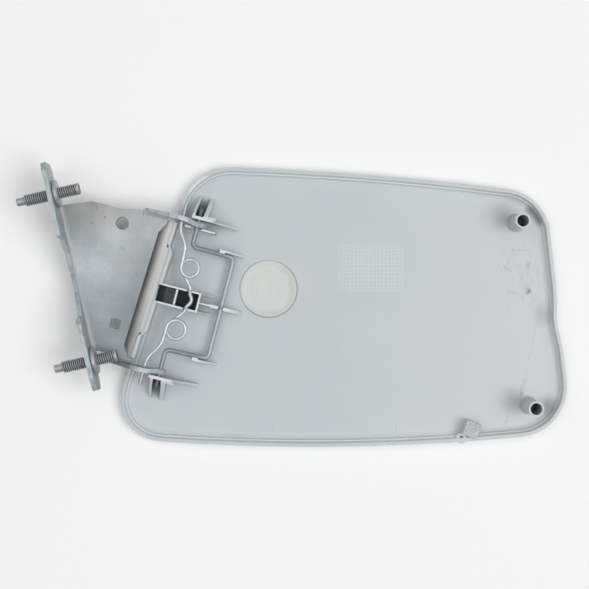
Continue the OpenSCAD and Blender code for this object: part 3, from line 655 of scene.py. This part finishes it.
# Small dark scratches on the plate, in the same form as those on the panel
PLATE_MARKS_MM = [
    ((-122.5, 50.2), (-122.0, 47.0), 0.7, 0.6),
    ((-118.8, 44.6), (-117.6, 43.4), 0.9, 0.8),
    ((-126.0, 40.9), (-123.4, 41.4), 1.1, 0.5),
    ((-110.8, 29.8), (-108.2, 27.4), 0.7, 0.4),
    ((-103.4, 18.0), (-101.4, 14.0), 0.8, 0.35),
]
# The flange lies beyond this X, and its streaks run along it
FLANGE_X = -118 * MM
STUD_AXIS = MOUNTS["stud_pair"]["axis"]
FLANGE_TURN = math.degrees(math.atan2(STUD_AXIS[1], STUD_AXIS[0])) + 180


def plate_layers(tree, u, v, z):
    """Painted shade on the plate at its lower end, beside the lip of the panel, at its corner by the flange and at
    its top.
    """
    lower = product(tree, ramp_mm(tree, v, 2, -13), 0.42)
    beside = product(tree, ramp_mm(tree, u, -36, -18.5), between(tree, v, -22, 14, 12), 0.6)
    corner = product(tree, ramp_mm(tree, u, -44, -52), ramp_mm(tree, v, 6, 20), 0.4)
    top = product(tree, ramp_mm(tree, v, 30, 40), 0.3)
    flat = ramp_mm(tree, z, 18.8, 18.0)
    return [(product(tree, shade, flat), colours().bracket_stain_and_shade) for shade in (lower, beside, corner, top)]


def fold_layers(tree, x, u, v, z):
    """Dark cut edges, painted highlights on the folds, painted shade on the upright faces of the ears and at the
    far end of the lower ear, a bluer cast on the ears and the flange, and a darker band on the flange.
    """
    tint = colours()
    facing = true_normal(tree)[2]
    upright = below(tree, math_node(tree, "ABSOLUTE", facing), 0.3)
    cut = product(tree, upright, ramp_mm(tree, z, 17.7, 17.4), between(tree, u, -46, -10), 0.6)
    cut = product(tree, cut, between(tree, v, -31, 29))
    side = math_node(tree, "ABSOLUTE", v)
    on_ear = product(tree, between(tree, side, 31, 40), between(tree, u, -34, 8))
    # Painted highlight in the hollow of the upper ear's fold
    hollow = product(tree, on_ear, between(tree, z, 18.3, 19.6, 0.3), below(tree, u, -12 * MM), 0.6)
    hollow = product(tree, hollow, above(tree, v, 0.0))
    on_flange = below(tree, x, FLANGE_X)
    slanted = below(tree, facing, 0.96)
    # Painted highlight on the flange's fold
    fold = product(tree, between(tree, z, 18.2, 20.4, 0.3), on_flange, slanted, 0.7)
    # Painted shade on the upright faces of the ears
    shaded = product(tree, on_ear, upright, ramp_mm(tree, z, 19.5, 20.0), 0.5)
    raised = product(tree, ramp_mm(tree, z, 19.5, 23.0), 0.6)
    # Painted shade at the far end of the lower ear
    lower_ear_far_shade = product(tree, on_ear, ramp_mm(tree, u, -10, -15), below(tree, v, 0.0), 0.7)
    lower_ear_far_shade = product(tree, lower_ear_far_shade, ramp_mm(tree, z, 18.6, 19.2), ramp_mm(tree, u, -25.0, -23.5))
    waist = product(tree, between(tree, z, 19.6, 21.0, 0.8), above(tree, facing, 0.6), on_flange, 0.4)
    return [
        (cut, tint.stud_dark_and_shade),
        (highest(tree, hollow, fold), tint.fold_highlight),
        (shaded, tint.bracket_stain_and_shade),
        (raised, tint.bracket_blue),
        (lower_ear_far_shade, tint.stud_dark_and_shade),
        (waist, tint.bracket_stain_and_shade),
    ]


def zinc_sheet():
    """Zinc plated pressed steel: a dull, clouded grey with a blue cast, handled places, small stains, painted
    shade and painted highlights on the folds.
    """
    material, tree, shader = new_material("zinc_plated_sheet")
    tint = colours()
    here = object_place(tree)
    x, y, z = axes(tree, here)
    u, v = hinge_axes(tree, here)
    handled = product(tree, clouds(tree, here, 19, 2), ramp_mm(tree, y, 0, 45), 0.8)
    plating = [
        (clouds(tree, here, 14, 4), tint.bracket_dull),
        (product(tree, clouds(tree, here, 1.1, 3), 0.3), tint.bracket_fleck),
        (handled, tint.bracket_warm),
    ]
    base = layered(tree, tint.bracket, plating)
    base = layered(tree, base, plate_layers(tree, u, v, z))
    base = layered(tree, base, fold_layers(tree, x, u, v, z))
    along_flange = drawn_out(tree, here, FLANGE_TURN, 3.0)
    smudges = clouds(tree, along_flange, 1.6, 5, 0.5, 0.72)
    worn = product(tree, smudges, ramp_mm(tree, z, 18.8, 20.0), 0.55)
    base = mix(tree, highest(tree, worn, thin_marks(tree, here, PLATE_MARKS_MM)), base, tint.bracket_stain_and_shade)
    tree.links.new(base, shader.inputs["Base Color"])
    shader.inputs["Metallic"].default_value = 0.25
    rough = ramp(tree, clouds(tree, here, 5), 0.0, 1.0, 0.42, 0.56)
    tree.links.new(rough, shader.inputs["Roughness"])
    bump(tree, shader, noise(tree, here, 0.8, 3.0), 0.03, 0.5)
    return material


def plated_thread():
    """Rolled and plated thread: dull metal, darker in the roots than on the crests, with painted shade on its
    lower side.
    """
    material, tree, shader = new_material("plated_rolled_thread")
    tint = colours()
    here = object_place(tree)
    depth = add(tree, "ShaderNodeAttribute", attribute_name="depth").outputs["Fac"]
    dull = product(tree, clouds(tree, here, 2), 0.35)
    # Painted shade on the faces that look towards -Y
    lower_side_shade = ramp(tree, true_normal(tree)[1], -0.15, -0.85, 0.0, 0.45)
    layers = [(depth, tint.stud_dark_and_shade), (dull, tint.stud_dull), (lower_side_shade, tint.stud_dark_and_shade)]
    tree.links.new(layered(tree, tint.stud, layers), shader.inputs["Base Color"])
    shader.inputs["Metallic"].default_value = 0.35
    shader.inputs["Roughness"].default_value = 0.42
    bump(tree, shader, noise(tree, here, 0.6, 2.0), 0.01, 0.5)
    return material


def drawn_wire(name, colour, metallic, rough, shaded_from=None, dull_from=None):
    """Drawn steel wire: smooth, with a soft gleam along it and clouds of dull plating; the spring has dull ends,
    the hinge wire darker legs and painted shade on its ends in the ears.
    """
    material, tree, shader = new_material(name)
    tint = colours()
    here = object_place(tree)
    u, v = hinge_axes(tree, here)
    side = math_node(tree, "ABSOLUTE", v)
    layers = [(product(tree, clouds(tree, here, 2.5, 3), 0.4), tint.wire_dull)]
    if dull_from:
        layers.append((ramp_mm(tree, side, dull_from, dull_from + 1, 0.0, 0.6), tint.spring_dull))
    if shaded_from:
        layers.append((ramp_mm(tree, u, 19, 15, 0.0, 0.5), tint.wire_leg))
        # Painted shade on the ends in the ears
        layers.append((ramp_mm(tree, side, shaded_from, shaded_from + 1), tint.wire_end_shade))
    tree.links.new(layered(tree, colour, layers), shader.inputs["Base Color"])
    shader.inputs["Metallic"].default_value = metallic
    shader.inputs["Roughness"].default_value = rough
    bump(tree, shader, noise(tree, here, 0.7, 2.0), 0.01, 0.4)
    return material


# Door panel


class FUELDOOR_OT_panel(bpy.types.Operator):
    """Dress the moulded panel of the door"""

    bl_idname = "fueldoor.panel"
    bl_label = "Door panel"

    def execute(self, context):
        plastic = moulded_plastic()
        panel = softened_copy("door_panel", "moulded_panel", sizes().mould_edge)
        finish_piece(panel, "door", "panel_plastic", plastic, "door_panel")
        raised = moulded_plastic("moulded_panel_raised_lines", raised=True)
        finish_piece(moulded_grid(), "door", "panel_plastic", raised)
        finish_piece(mould_marks(), "door", "panel_plastic", raised)
        return {"FINISHED"}


PANEL_FLOOR = 2.6 * MM
GRID_CORNERS = (Vector((-2.6, 30.6, 0)) * MM, Vector((29.4, 7.6, 0)) * MM)
# The real grid is finer. It is drawn with fewer cells so that it shows
GRID_CELLS = (17, 12)
# Height of the grid's lines as a share of their width
GRID_FLAT = 0.3
# Small ridges that the mould leaves inside the rim, from one end to the other
MARKS_MM = [
    ((-14.4, 60.4), (-15.7, 54.4)),
    ((39.8, 56.4), (38.8, 50.4)),
    ((-34.6, -56.4), (-36.0, -62.4)),
    ((27.4, -57.2), (26.0, -62.2)),
]


def moulded_grid():
    """A fine grid of raised lines on the panel's floor, left by an engraved field in the mould."""
    low, high = GRID_CORNERS
    middle = (low + high) / 2
    bpy.ops.object.select_all(action="DESELECT")
    bpy.ops.mesh.primitive_grid_add(
        x_subdivisions=GRID_CELLS[0], y_subdivisions=GRID_CELLS[1], size=1, location=(0, 0, 0)
    )
    grid = named("moulded_grid")
    grid.scale = (abs(high.x - low.x), abs(high.y - low.y), 1)
    grid.location = (middle.x, middle.y, PANEL_FLOOR)
    settle(grid)
    apply_modifier(grid, "WIREFRAME", thickness=sizes().grid_line, use_boundary=True, use_even_offset=True)
    flatten = Matrix.Translation((0, 0, PANEL_FLOOR)) @ Matrix.Diagonal((1, 1, GRID_FLAT, 1))
    place(grid, flatten @ Matrix.Translation((0, 0, -PANEL_FLOOR)))
    return grid


def mould_marks():
    """The small slanting ridges on the floor beside the rim."""
    marks = []
    for start, end in MARKS_MM:
        a, b = (Vector((*p, 0)) * MM for p in (start, end))
        bpy.ops.object.select_all(action="DESELECT")
        bpy.ops.mesh.primitive_cylinder_add(vertices=16, radius=sizes().mark_w / 2, depth=(b - a).length)
        mark = named("mould_mark")
        turn = (b - a).to_track_quat("Z", "Y").to_matrix().to_4x4()
        place(mark, Matrix.Translation((a + b) / 2 + Vector((0, 0, PANEL_FLOOR))) @ turn)
        marks.append(mark)
    pick(*marks)
    bpy.ops.object.join()
    smooth(marks[0], 40)
    return marks[0]


# Damping pad


class FUELDOOR_OT_pad(bpy.types.Operator):
    """Dress the round damping pad"""

    bl_idname = "fueldoor.pad"
    bl_label = "Damping pad"

    def execute(self, context):
        pad = merged_copy("round_pad", "damping_pad")
        smooth(pad, 30)
        finish_piece(pad, "door", "pad_foam", foam_pad(), "round_pad")
        return {"FINISHED"}


# Bracket


class FUELDOOR_OT_bracket(bpy.types.Operator):
    """Dress the pressed bracket"""

    bl_idname = "fueldoor.bracket"
    bl_label = "Hinge bracket"

    def execute(self, context):
        bracket = softened_copy("hinge_bracket", "pressed_bracket", sizes().edge_break)
        finish_piece(bracket, "bracket", "bracket_steel", zinc_sheet(), "hinge_bracket")
        return {"FINISHED"}


# Studs

STUD_TIP_D = 3.9 * MM
STUD_TIP_L = 3.8 * MM
STUD_OUT = 12.8 * MM
STUD_IN = 10.4 * MM
SHEET_T = 2.2 * MM
SHANK_D = 6.9 * MM
COLLAR_D = 13.5 * MM
COLLAR_T = 2.0 * MM
# Relief under the collar: its height at the edge, and how far in it runs
COLLAR_RELIEF = 0.4 * MM
RELIEF_RUN = 1.0 * MM
# Plain lead at the inner end, rounding of the edges, and how far plain parts lie below the crests
PLAIN_END = 1.5 * MM
STUD_SOFT = 0.3 * MM
PLAIN_SUNK = 0.1 * MM
# Gap between the outer thread and the sheet
OUTER_GAP = 0.4 * MM
# Half widths of the thread's root and crest as shares of the pitch, and steps in one turn
THREAD_ROOT = 0.44
THREAD_CREST = 0.07
THREAD_STEPS = 40
THREAD_SUNK = 0.15 * MM
# Points this far beyond the crests are on the collar, which is given one depth
COLLAR_FROM = 0.5 * MM
COLLAR_DEPTH = 0.2
# Share of the depth left outside the thread
PLAIN_DEPTH = 0.35


def lathe(name, profile, steps=48):
    """Spins a profile of radius and height, from bottom to top, round Z."""
    bpy.ops.object.select_all(action="DESELECT")
    bpy.ops.mesh.primitive_plane_add(size=1, location=(0, 0, 0))
    obj = named(name)
    bpy.ops.object.mode_set(mode="EDIT")
    bpy.ops.mesh.select_all(action="SELECT")
    bpy.ops.mesh.delete(type="ONLY_FACE")
    bpy.ops.mesh.select_all(action="SELECT")
    bpy.ops.mesh.merge(type="CENTER")
    bpy.ops.transform.translate(value=(profile[0][0], 0, profile[0][1]))
    for here, there in zip(profile, profile[1:]):
        step = (there[0] - here[0], 0, there[1] - here[1])
        bpy.ops.mesh.extrude_region_move(TRANSFORM_OT_translate={"value": step})
    bpy.ops.mesh.select_all(action="SELECT")
    bpy.ops.mesh.spin(steps=steps, angle=math.tau, center=(0, 0, 0), axis=(0, 0, 1))
    bpy.ops.object.mode_set(mode="OBJECT")
    outward_normals(obj)
    return obj


def thread(name, low, high, major, pitch, depth):
    """One helical ridge between two heights, sunk a little into the core."""
    root = major / 2 - depth
    crest = major / 2
    sunk = root - THREAD_SUNK
    wide, narrow = THREAD_ROOT * pitch, THREAD_CREST * pitch
    profile = [
        (sunk, -wide),
        (root, -wide),
        (crest, -narrow),
        (crest, narrow),
        (root, wide),
        (sunk, wide),
    ]
    bpy.ops.object.select_all(action="DESELECT")
    bpy.ops.mesh.primitive_circle_add(vertices=len(profile), fill_type="NGON", radius=1, location=(0, 0, 0))
    obj = named(name)
    for vertex, (r, z) in zip(obj.data.vertices, profile):
        vertex.co = (r, 0, z)
    total = round(((high - low) / pitch - 1) * THREAD_STEPS)
    place(obj, Matrix.Translation((0, 0, low + pitch / 2)))
    screw = {
        "axis": "Z",
        "angle": total * math.tau / THREAD_STEPS,
        "screw_offset": total * pitch / THREAD_STEPS,
        "steps": total,
        "render_steps": total,
        "use_merge_vertices": False,
        "use_normal_calculate": True,
    }
    apply_modifier(obj, "SCREW", **screw)
    outward_normals(obj)
    return obj


def mark_depth(obj, root, crest, low, high):
    """Stores how deep each point lies in the thread, from 0 on the crest to 1 in the root."""
    layer = obj.data.attributes.new("depth", "FLOAT", "POINT")
    for vertex, item in zip(obj.data.vertices, layer.data):
        r = math.hypot(vertex.co.x, vertex.co.y)
        deep = min(1, max(0, (crest - r) / (crest - root)))
        if r > crest + COLLAR_FROM:
            deep = COLLAR_DEPTH
        item.value = deep if low < vertex.co.z < high else deep * PLAIN_DEPTH


def stud_blank(name):
    """The stud without its thread: plain tip, core, collar and chamfered end, standing on Z."""
    size = sizes()
    major = size.thread_d / 2
    core = major - size.thread_depth
    plain = major - PLAIN_SUNK
    tip, shank, collar = STUD_TIP_D / 2, SHANK_D / 2, COLLAR_D / 2
    low = -STUD_OUT - STUD_TIP_L
    face = SHEET_T + COLLAR_T
    end = face + STUD_IN
    profile = [
        (0, low),
        (tip - STUD_SOFT, low),
        (tip, low + STUD_SOFT),
        (tip, -STUD_OUT),
        (core, -STUD_OUT + (core - tip)),
        (core, -1.3 * MM),
        (plain, -0.6 * MM),
        (plain, 0),
        (shank, 0),
        (shank, SHEET_T),
        (collar - RELIEF_RUN, SHEET_T),
        (collar, SHEET_T + COLLAR_RELIEF),
        (collar, face - STUD_SOFT),
        (collar - STUD_SOFT, face),
        (major + 0.2 * MM, face),
        (core, face + 0.5 * MM),
        (core, end - PLAIN_END),
        (plain, end - PLAIN_END + STUD_SOFT),
        (plain, end - 0.4 * MM),
        (major - 0.5 * MM, end),
        (0, end),
    ]
    return lathe(name, profile)


class FUELDOOR_OT_studs(bpy.types.Operator):
    """Model the two threaded studs"""

    bl_idname = "fueldoor.studs"
    bl_label = "Studs"

    def execute(self, context):
        size = sizes()
        steel = plated_thread()
        pair = MOUNTS["stud_pair"]
        out = Vector(pair["axis"]).normalized()
        along = Vector((out.y, -out.x, 0))
        reach = pair["dims"]["pcd_mm"] * MM / 2
        middle = Vector(pair["pos_m"])
        stand = out.to_track_quat("-Z", "Y").to_matrix().to_4x4()
        cut = (size.thread_d, size.thread_pitch, size.thread_depth)
        crest = size.thread_d / 2
        inner = SHEET_T + COLLAR_T
        for name, side in (("upper_stud", 1), ("lower_stud", -1)):
            parts = [
                stud_blank(name + "_threaded"),
                thread("outer_thread", -STUD_OUT, -OUTER_GAP, *cut),
                thread("inner_thread", inner, inner + STUD_IN - PLAIN_END / 2, *cut),
            ]
            for part in parts:
                mark_depth(part, crest - size.thread_depth, crest, -STUD_OUT, inner + STUD_IN)
            pick(*parts)
            bpy.ops.object.join()
            stud = parts[0]
            place(stud, Matrix.Translation(middle + along * side * reach) @ stand)
            smooth(stud, 40)
            finish_piece(stud, "bracket", "stud_steel", steel, name)
        return {"FINISHED"}


# Wires

# How finely the round section of a wire is drawn
WIRE_ROUND = 8


def wire_from(name, points, diameter):
    """A round wire with flat ends along a path of places in metres."""
    bpy.ops.object.select_all(action="DESELECT")
    bpy.ops.curve.primitive_nurbs_path_add(location=(0, 0, 0))
    wire = named(name)
    wire.data.splines.clear()
    line = wire.data.splines.new("POLY")
    line.points.add(len(points) - 1)
    for target, p in zip(line.points, points):
        target.co = (*p, 1)
    wire.data.bevel_depth = diameter / 2
    wire.data.bevel_resolution = WIRE_ROUND
    wire.data.use_fill_caps = True
    wire.data.twist_mode = "MINIMUM"
    pick(wire)
    bpy.ops.object.convert(target="MESH")
    outward_normals(wire)
    smooth(wire, 50)
    return wire


def rounded_route(corners, radius, steps=10):
    """A path through corner points, with each corner turned on an arc of that radius."""
    route = [corners[0]]
    for before, corner, after in zip(corners, corners[1:], corners[2:]):
        back, ahead = (before - corner).normalized(), (after - corner).normalized()
        half = back.angle(ahead) / 2
        reach = radius / math.tan(half)
        centre = corner + (back + ahead).normalized() * radius / math.sin(half)
        first = (corner + back * reach - centre).normalized()
        last = (corner + ahead * reach - centre).normalized()
        route += [centre + first.slerp(last, k / steps) * radius for k in range(steps + 1)]
    return route + [corners[-1]]


# The hinge wire in millimetres in the hinge's frame: its straight ends, its legs and its loop
HINGE_Z = 17.0
LOOP_REACH = 20.8
LOOP_Z = 7.6
LEG_V = 26.0
WIRE_HALF = 45.4
WIRE_BEND = 2.5


class FUELDOOR_OT_hinge_wire(bpy.types.Operator):
    """Bend the hinge wire"""

    bl_idname = "fueldoor.hinge_wire"
    bl_label = "Hinge wire"

    def execute(self, context):
        corners = [
            (0, -WIRE_HALF, HINGE_Z),
            (0, -LEG_V, HINGE_Z),
            (LOOP_REACH, -LEG_V, LOOP_Z),
            (LOOP_REACH, LEG_V, LOOP_Z),
            (0, LEG_V, HINGE_Z),
            (0, WIRE_HALF, HINGE_Z),
        ]
        route = rounded_route([at_hinge(*c) for c in corners], WIRE_BEND * MM)
        wire = wire_from("bent_hinge_wire", route, sizes().wire_d)
        steel = drawn_wire("plated_hinge_wire", colours().wire, 0.3, 0.42, shaded_from=40.5)
        finish_piece(wire, "door", "wire_steel", steel, "hinge_wire")
        return {"FINISHED"}


# The spring in millimetres in the hinge's frame: its arm and end in an ear, its coil and its clip
SPRING_ARM = 8.0
ARM_IN = 35.5
STUB_END = 45.7
COIL_V = 15.5
CLIP_Z = 13.0
CLIP_U = 4.0
BOW_U = 6.1
# Degrees that a coil turns past its full turn, points along it, and its rise in one turn
COIL_LEAVE = 40
COIL_STEPS = 60
COIL_PITCH = 1.95
# Side of the hinge, centre along X and radius of each coil
COILS = {"upper": (1, 1.5, 4.3), "lower": (-1, 2.4, 4.7)}


def spring_half(u, r):
    """Half of the spring's path, from its end in an ear, round its coil, to the middle of the clip."""
    path = [
        (-SPRING_ARM, STUB_END, HINGE_Z),
        (-SPRING_ARM, ARM_IN + 4, HINGE_Z),
        (-SPRING_ARM, ARM_IN, HINGE_Z),
        (-SPRING_ARM + 0.3, ARM_IN - 2.4, HINGE_Z),
        (-SPRING_ARM + 1.5, ARM_IN - 4.9, HINGE_Z),
        (-4.7, 28, HINGE_Z),
        (-3.3, 25.4, HINGE_Z),
        (u - r - 0.2, 22.6, HINGE_Z),
        (u - r - 0.1, COIL_V + 3.4, HINGE_Z),
    ]
    for k in range(COIL_STEPS + 1):
        a = 180 + (360 + COIL_LEAVE) * k / COIL_STEPS
        turn = math.radians(a)
        height = HINGE_Z - 0.2 - COIL_PITCH * (a - 180) / 360
        path.append((u + r * math.cos(turn), COIL_V + r * math.sin(turn), height))
    path += [
        (1.3, 9.4, CLIP_Z + 0.8),
        (3.2, 7.0, CLIP_Z + 0.1),
        (CLIP_U, BOX_HALF + BOX_T + 0.7, CLIP_Z),
        (CLIP_U + 0.1, BOX_HALF + BOX_T / 2, CLIP_Z),
        (CLIP_U + 0.4, BOX_HALF - 0.9, CLIP_Z),
        (BOW_U - 0.6, 1.8, CLIP_Z),
        (BOW_U, 0, CLIP_Z),
    ]
    return path


def eased(path, rounds=2):
    """Rounds a path off by cutting its corners, with its two ends kept."""
    for _ in range(rounds):
        cut = [path[0]]
        for a, b in zip(path, path[1:]):
            cut += [a.lerp(b, 0.25), a.lerp(b, 0.75)]
        path = cut + [path[-1]]
    return path


class FUELDOOR_OT_spring(bpy.types.Operator):
    """Bend the two halves of the centre spring"""

    bl_idname = "fueldoor.spring"
    bl_label = "Centre spring"

    def execute(self, context):
        steel = drawn_wire("bright_spring_wire", colours().spring, 0.35, 0.36, dull_from=36.5)
        for name, (side, u, r) in COILS.items():
            points = [at_hinge(a, side * b, z) for a, b, z in spring_half(u, r)]
            half = wire_from("spring_" + name, eased(points), sizes().spring_d)
            finish_piece(half, None, "spring_steel", steel, "centre_spring")
            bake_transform(half)
        return {"FINISHED"}


# Stage

# The camera as worked out from the photo: its place, and its focal length in pixels
CAMERA_PLACE = Vector((-0.025, 0.00606, 0.650))
FOCAL_PIXELS = 1287
PHOTO_PIXELS = 589
SENSOR_MM = 36
LIGHT_TARGET = Vector((-0.02, 0, 0))
# Place, width and power of each square light, all turned to the target
LIGHTS = {
    "key_softbox": ((1.0, -0.25, 1.9), 1.1, 17.5),
    "overhead_softbox": ((-0.02, 0, 2.2), 2.4, 21),
    "fill_softbox": ((-1.1, 0.3, 1.5), 1.4, 4.5),
}
AIR_STRENGTH = 0.28
FLOOR_WIDTH = 6


def area_light(name, place_at, width, power):
    bpy.ops.object.select_all(action="DESELECT")
    bpy.ops.object.light_add(type="AREA", location=place_at)
    lamp = named(name)
    lamp.rotation_euler = (LIGHT_TARGET - Vector(place_at)).to_track_quat("-Z", "Y").to_euler()
    lamp.data.shape = "RECTANGLE"
    lamp.data.size = lamp.data.size_y = width
    lamp.data.energy = power


class FUELDOOR_OT_stage(bpy.types.Operator):
    """Add the floor, the lights and the camera"""

    bl_idname = "fueldoor.stage"
    bl_label = "Stage"

    def execute(self, context):
        bpy.ops.object.select_all(action="DESELECT")
        bpy.ops.mesh.primitive_plane_add(size=FLOOR_WIDTH, location=(0, 0, 0))
        floor = named("paper_floor")
        material, _, shader = new_material("matt_paper")
        shader.inputs["Base Color"].default_value = (*colours().floor, 1)
        shader.inputs["Roughness"].default_value = 0.9
        shader.inputs["Specular IOR Level"].default_value = 0.1
        floor.data.materials.append(material)
        for name, (place_at, width, power) in LIGHTS.items():
            area_light(name, place_at, width, power)
        bpy.ops.object.camera_add(location=CAMERA_PLACE, rotation=(0, 0, 0))
        camera = named("camera")
        camera.data.sensor_width = SENSOR_MM
        camera.data.lens = FOCAL_PIXELS / PHOTO_PIXELS * SENSOR_MM
        context.scene.camera = camera
        world = context.scene.world or bpy.data.worlds.new("studio_air")
        context.scene.world = world
        world.use_nodes = True
        background = world.node_tree.nodes["Background"]
        background.inputs["Color"].default_value = (1, 1, 1, 1)
        background.inputs["Strength"].default_value = AIR_STRENGTH
        context.scene.view_settings.view_transform = "Standard"
        return {"FINISHED"}


STEPS = [
    FUELDOOR_OT_stage,
    FUELDOOR_OT_panel,
    FUELDOOR_OT_pad,
    FUELDOOR_OT_bracket,
    FUELDOOR_OT_studs,
    FUELDOOR_OT_hinge_wire,
    FUELDOOR_OT_spring,
]


class FUELDOOR_PT_sidebar(bpy.types.Panel):
    """Lists the fuel door's pieces, sizes and colours"""

    bl_idname = "FUELDOOR_PT_sidebar"
    bl_label = "Fuel door"
    bl_space_type = "VIEW_3D"
    bl_region_type = "UI"
    bl_category = "Fuel door"

    def draw(self, context):
        for step in STEPS:
            self.layout.operator(step.bl_idname)
        for group in (sizes(), colours()):
            box = self.layout.box()
            for key in group.__annotations__:
                box.prop(group, key)


CLASSES = [FuelDoorSizes, FuelDoorColours, *STEPS, FUELDOOR_PT_sidebar]


def register():
    for cls in CLASSES:
        bpy.utils.register_class(cls)
    bpy.types.Scene.fuel_door_sizes = bpy.props.PointerProperty(type=FuelDoorSizes)
    bpy.types.Scene.fuel_door_colours = bpy.props.PointerProperty(type=FuelDoorColours)


def unregister():
    del bpy.types.Scene.fuel_door_colours
    del bpy.types.Scene.fuel_door_sizes
    for cls in reversed(CLASSES):
        bpy.utils.unregister_class(cls)


def main():
    register()
    bpy.ops.fueldoor.stage()
    bpy.ops.fueldoor.panel()
    bpy.ops.fueldoor.pad()
    bpy.ops.fueldoor.bracket()
    bpy.ops.fueldoor.studs()
    bpy.ops.fueldoor.hinge_wire()
    bpy.ops.fueldoor.spring()
    bpy.context.view_layer.update()


if __name__ == "__main__":
    main()
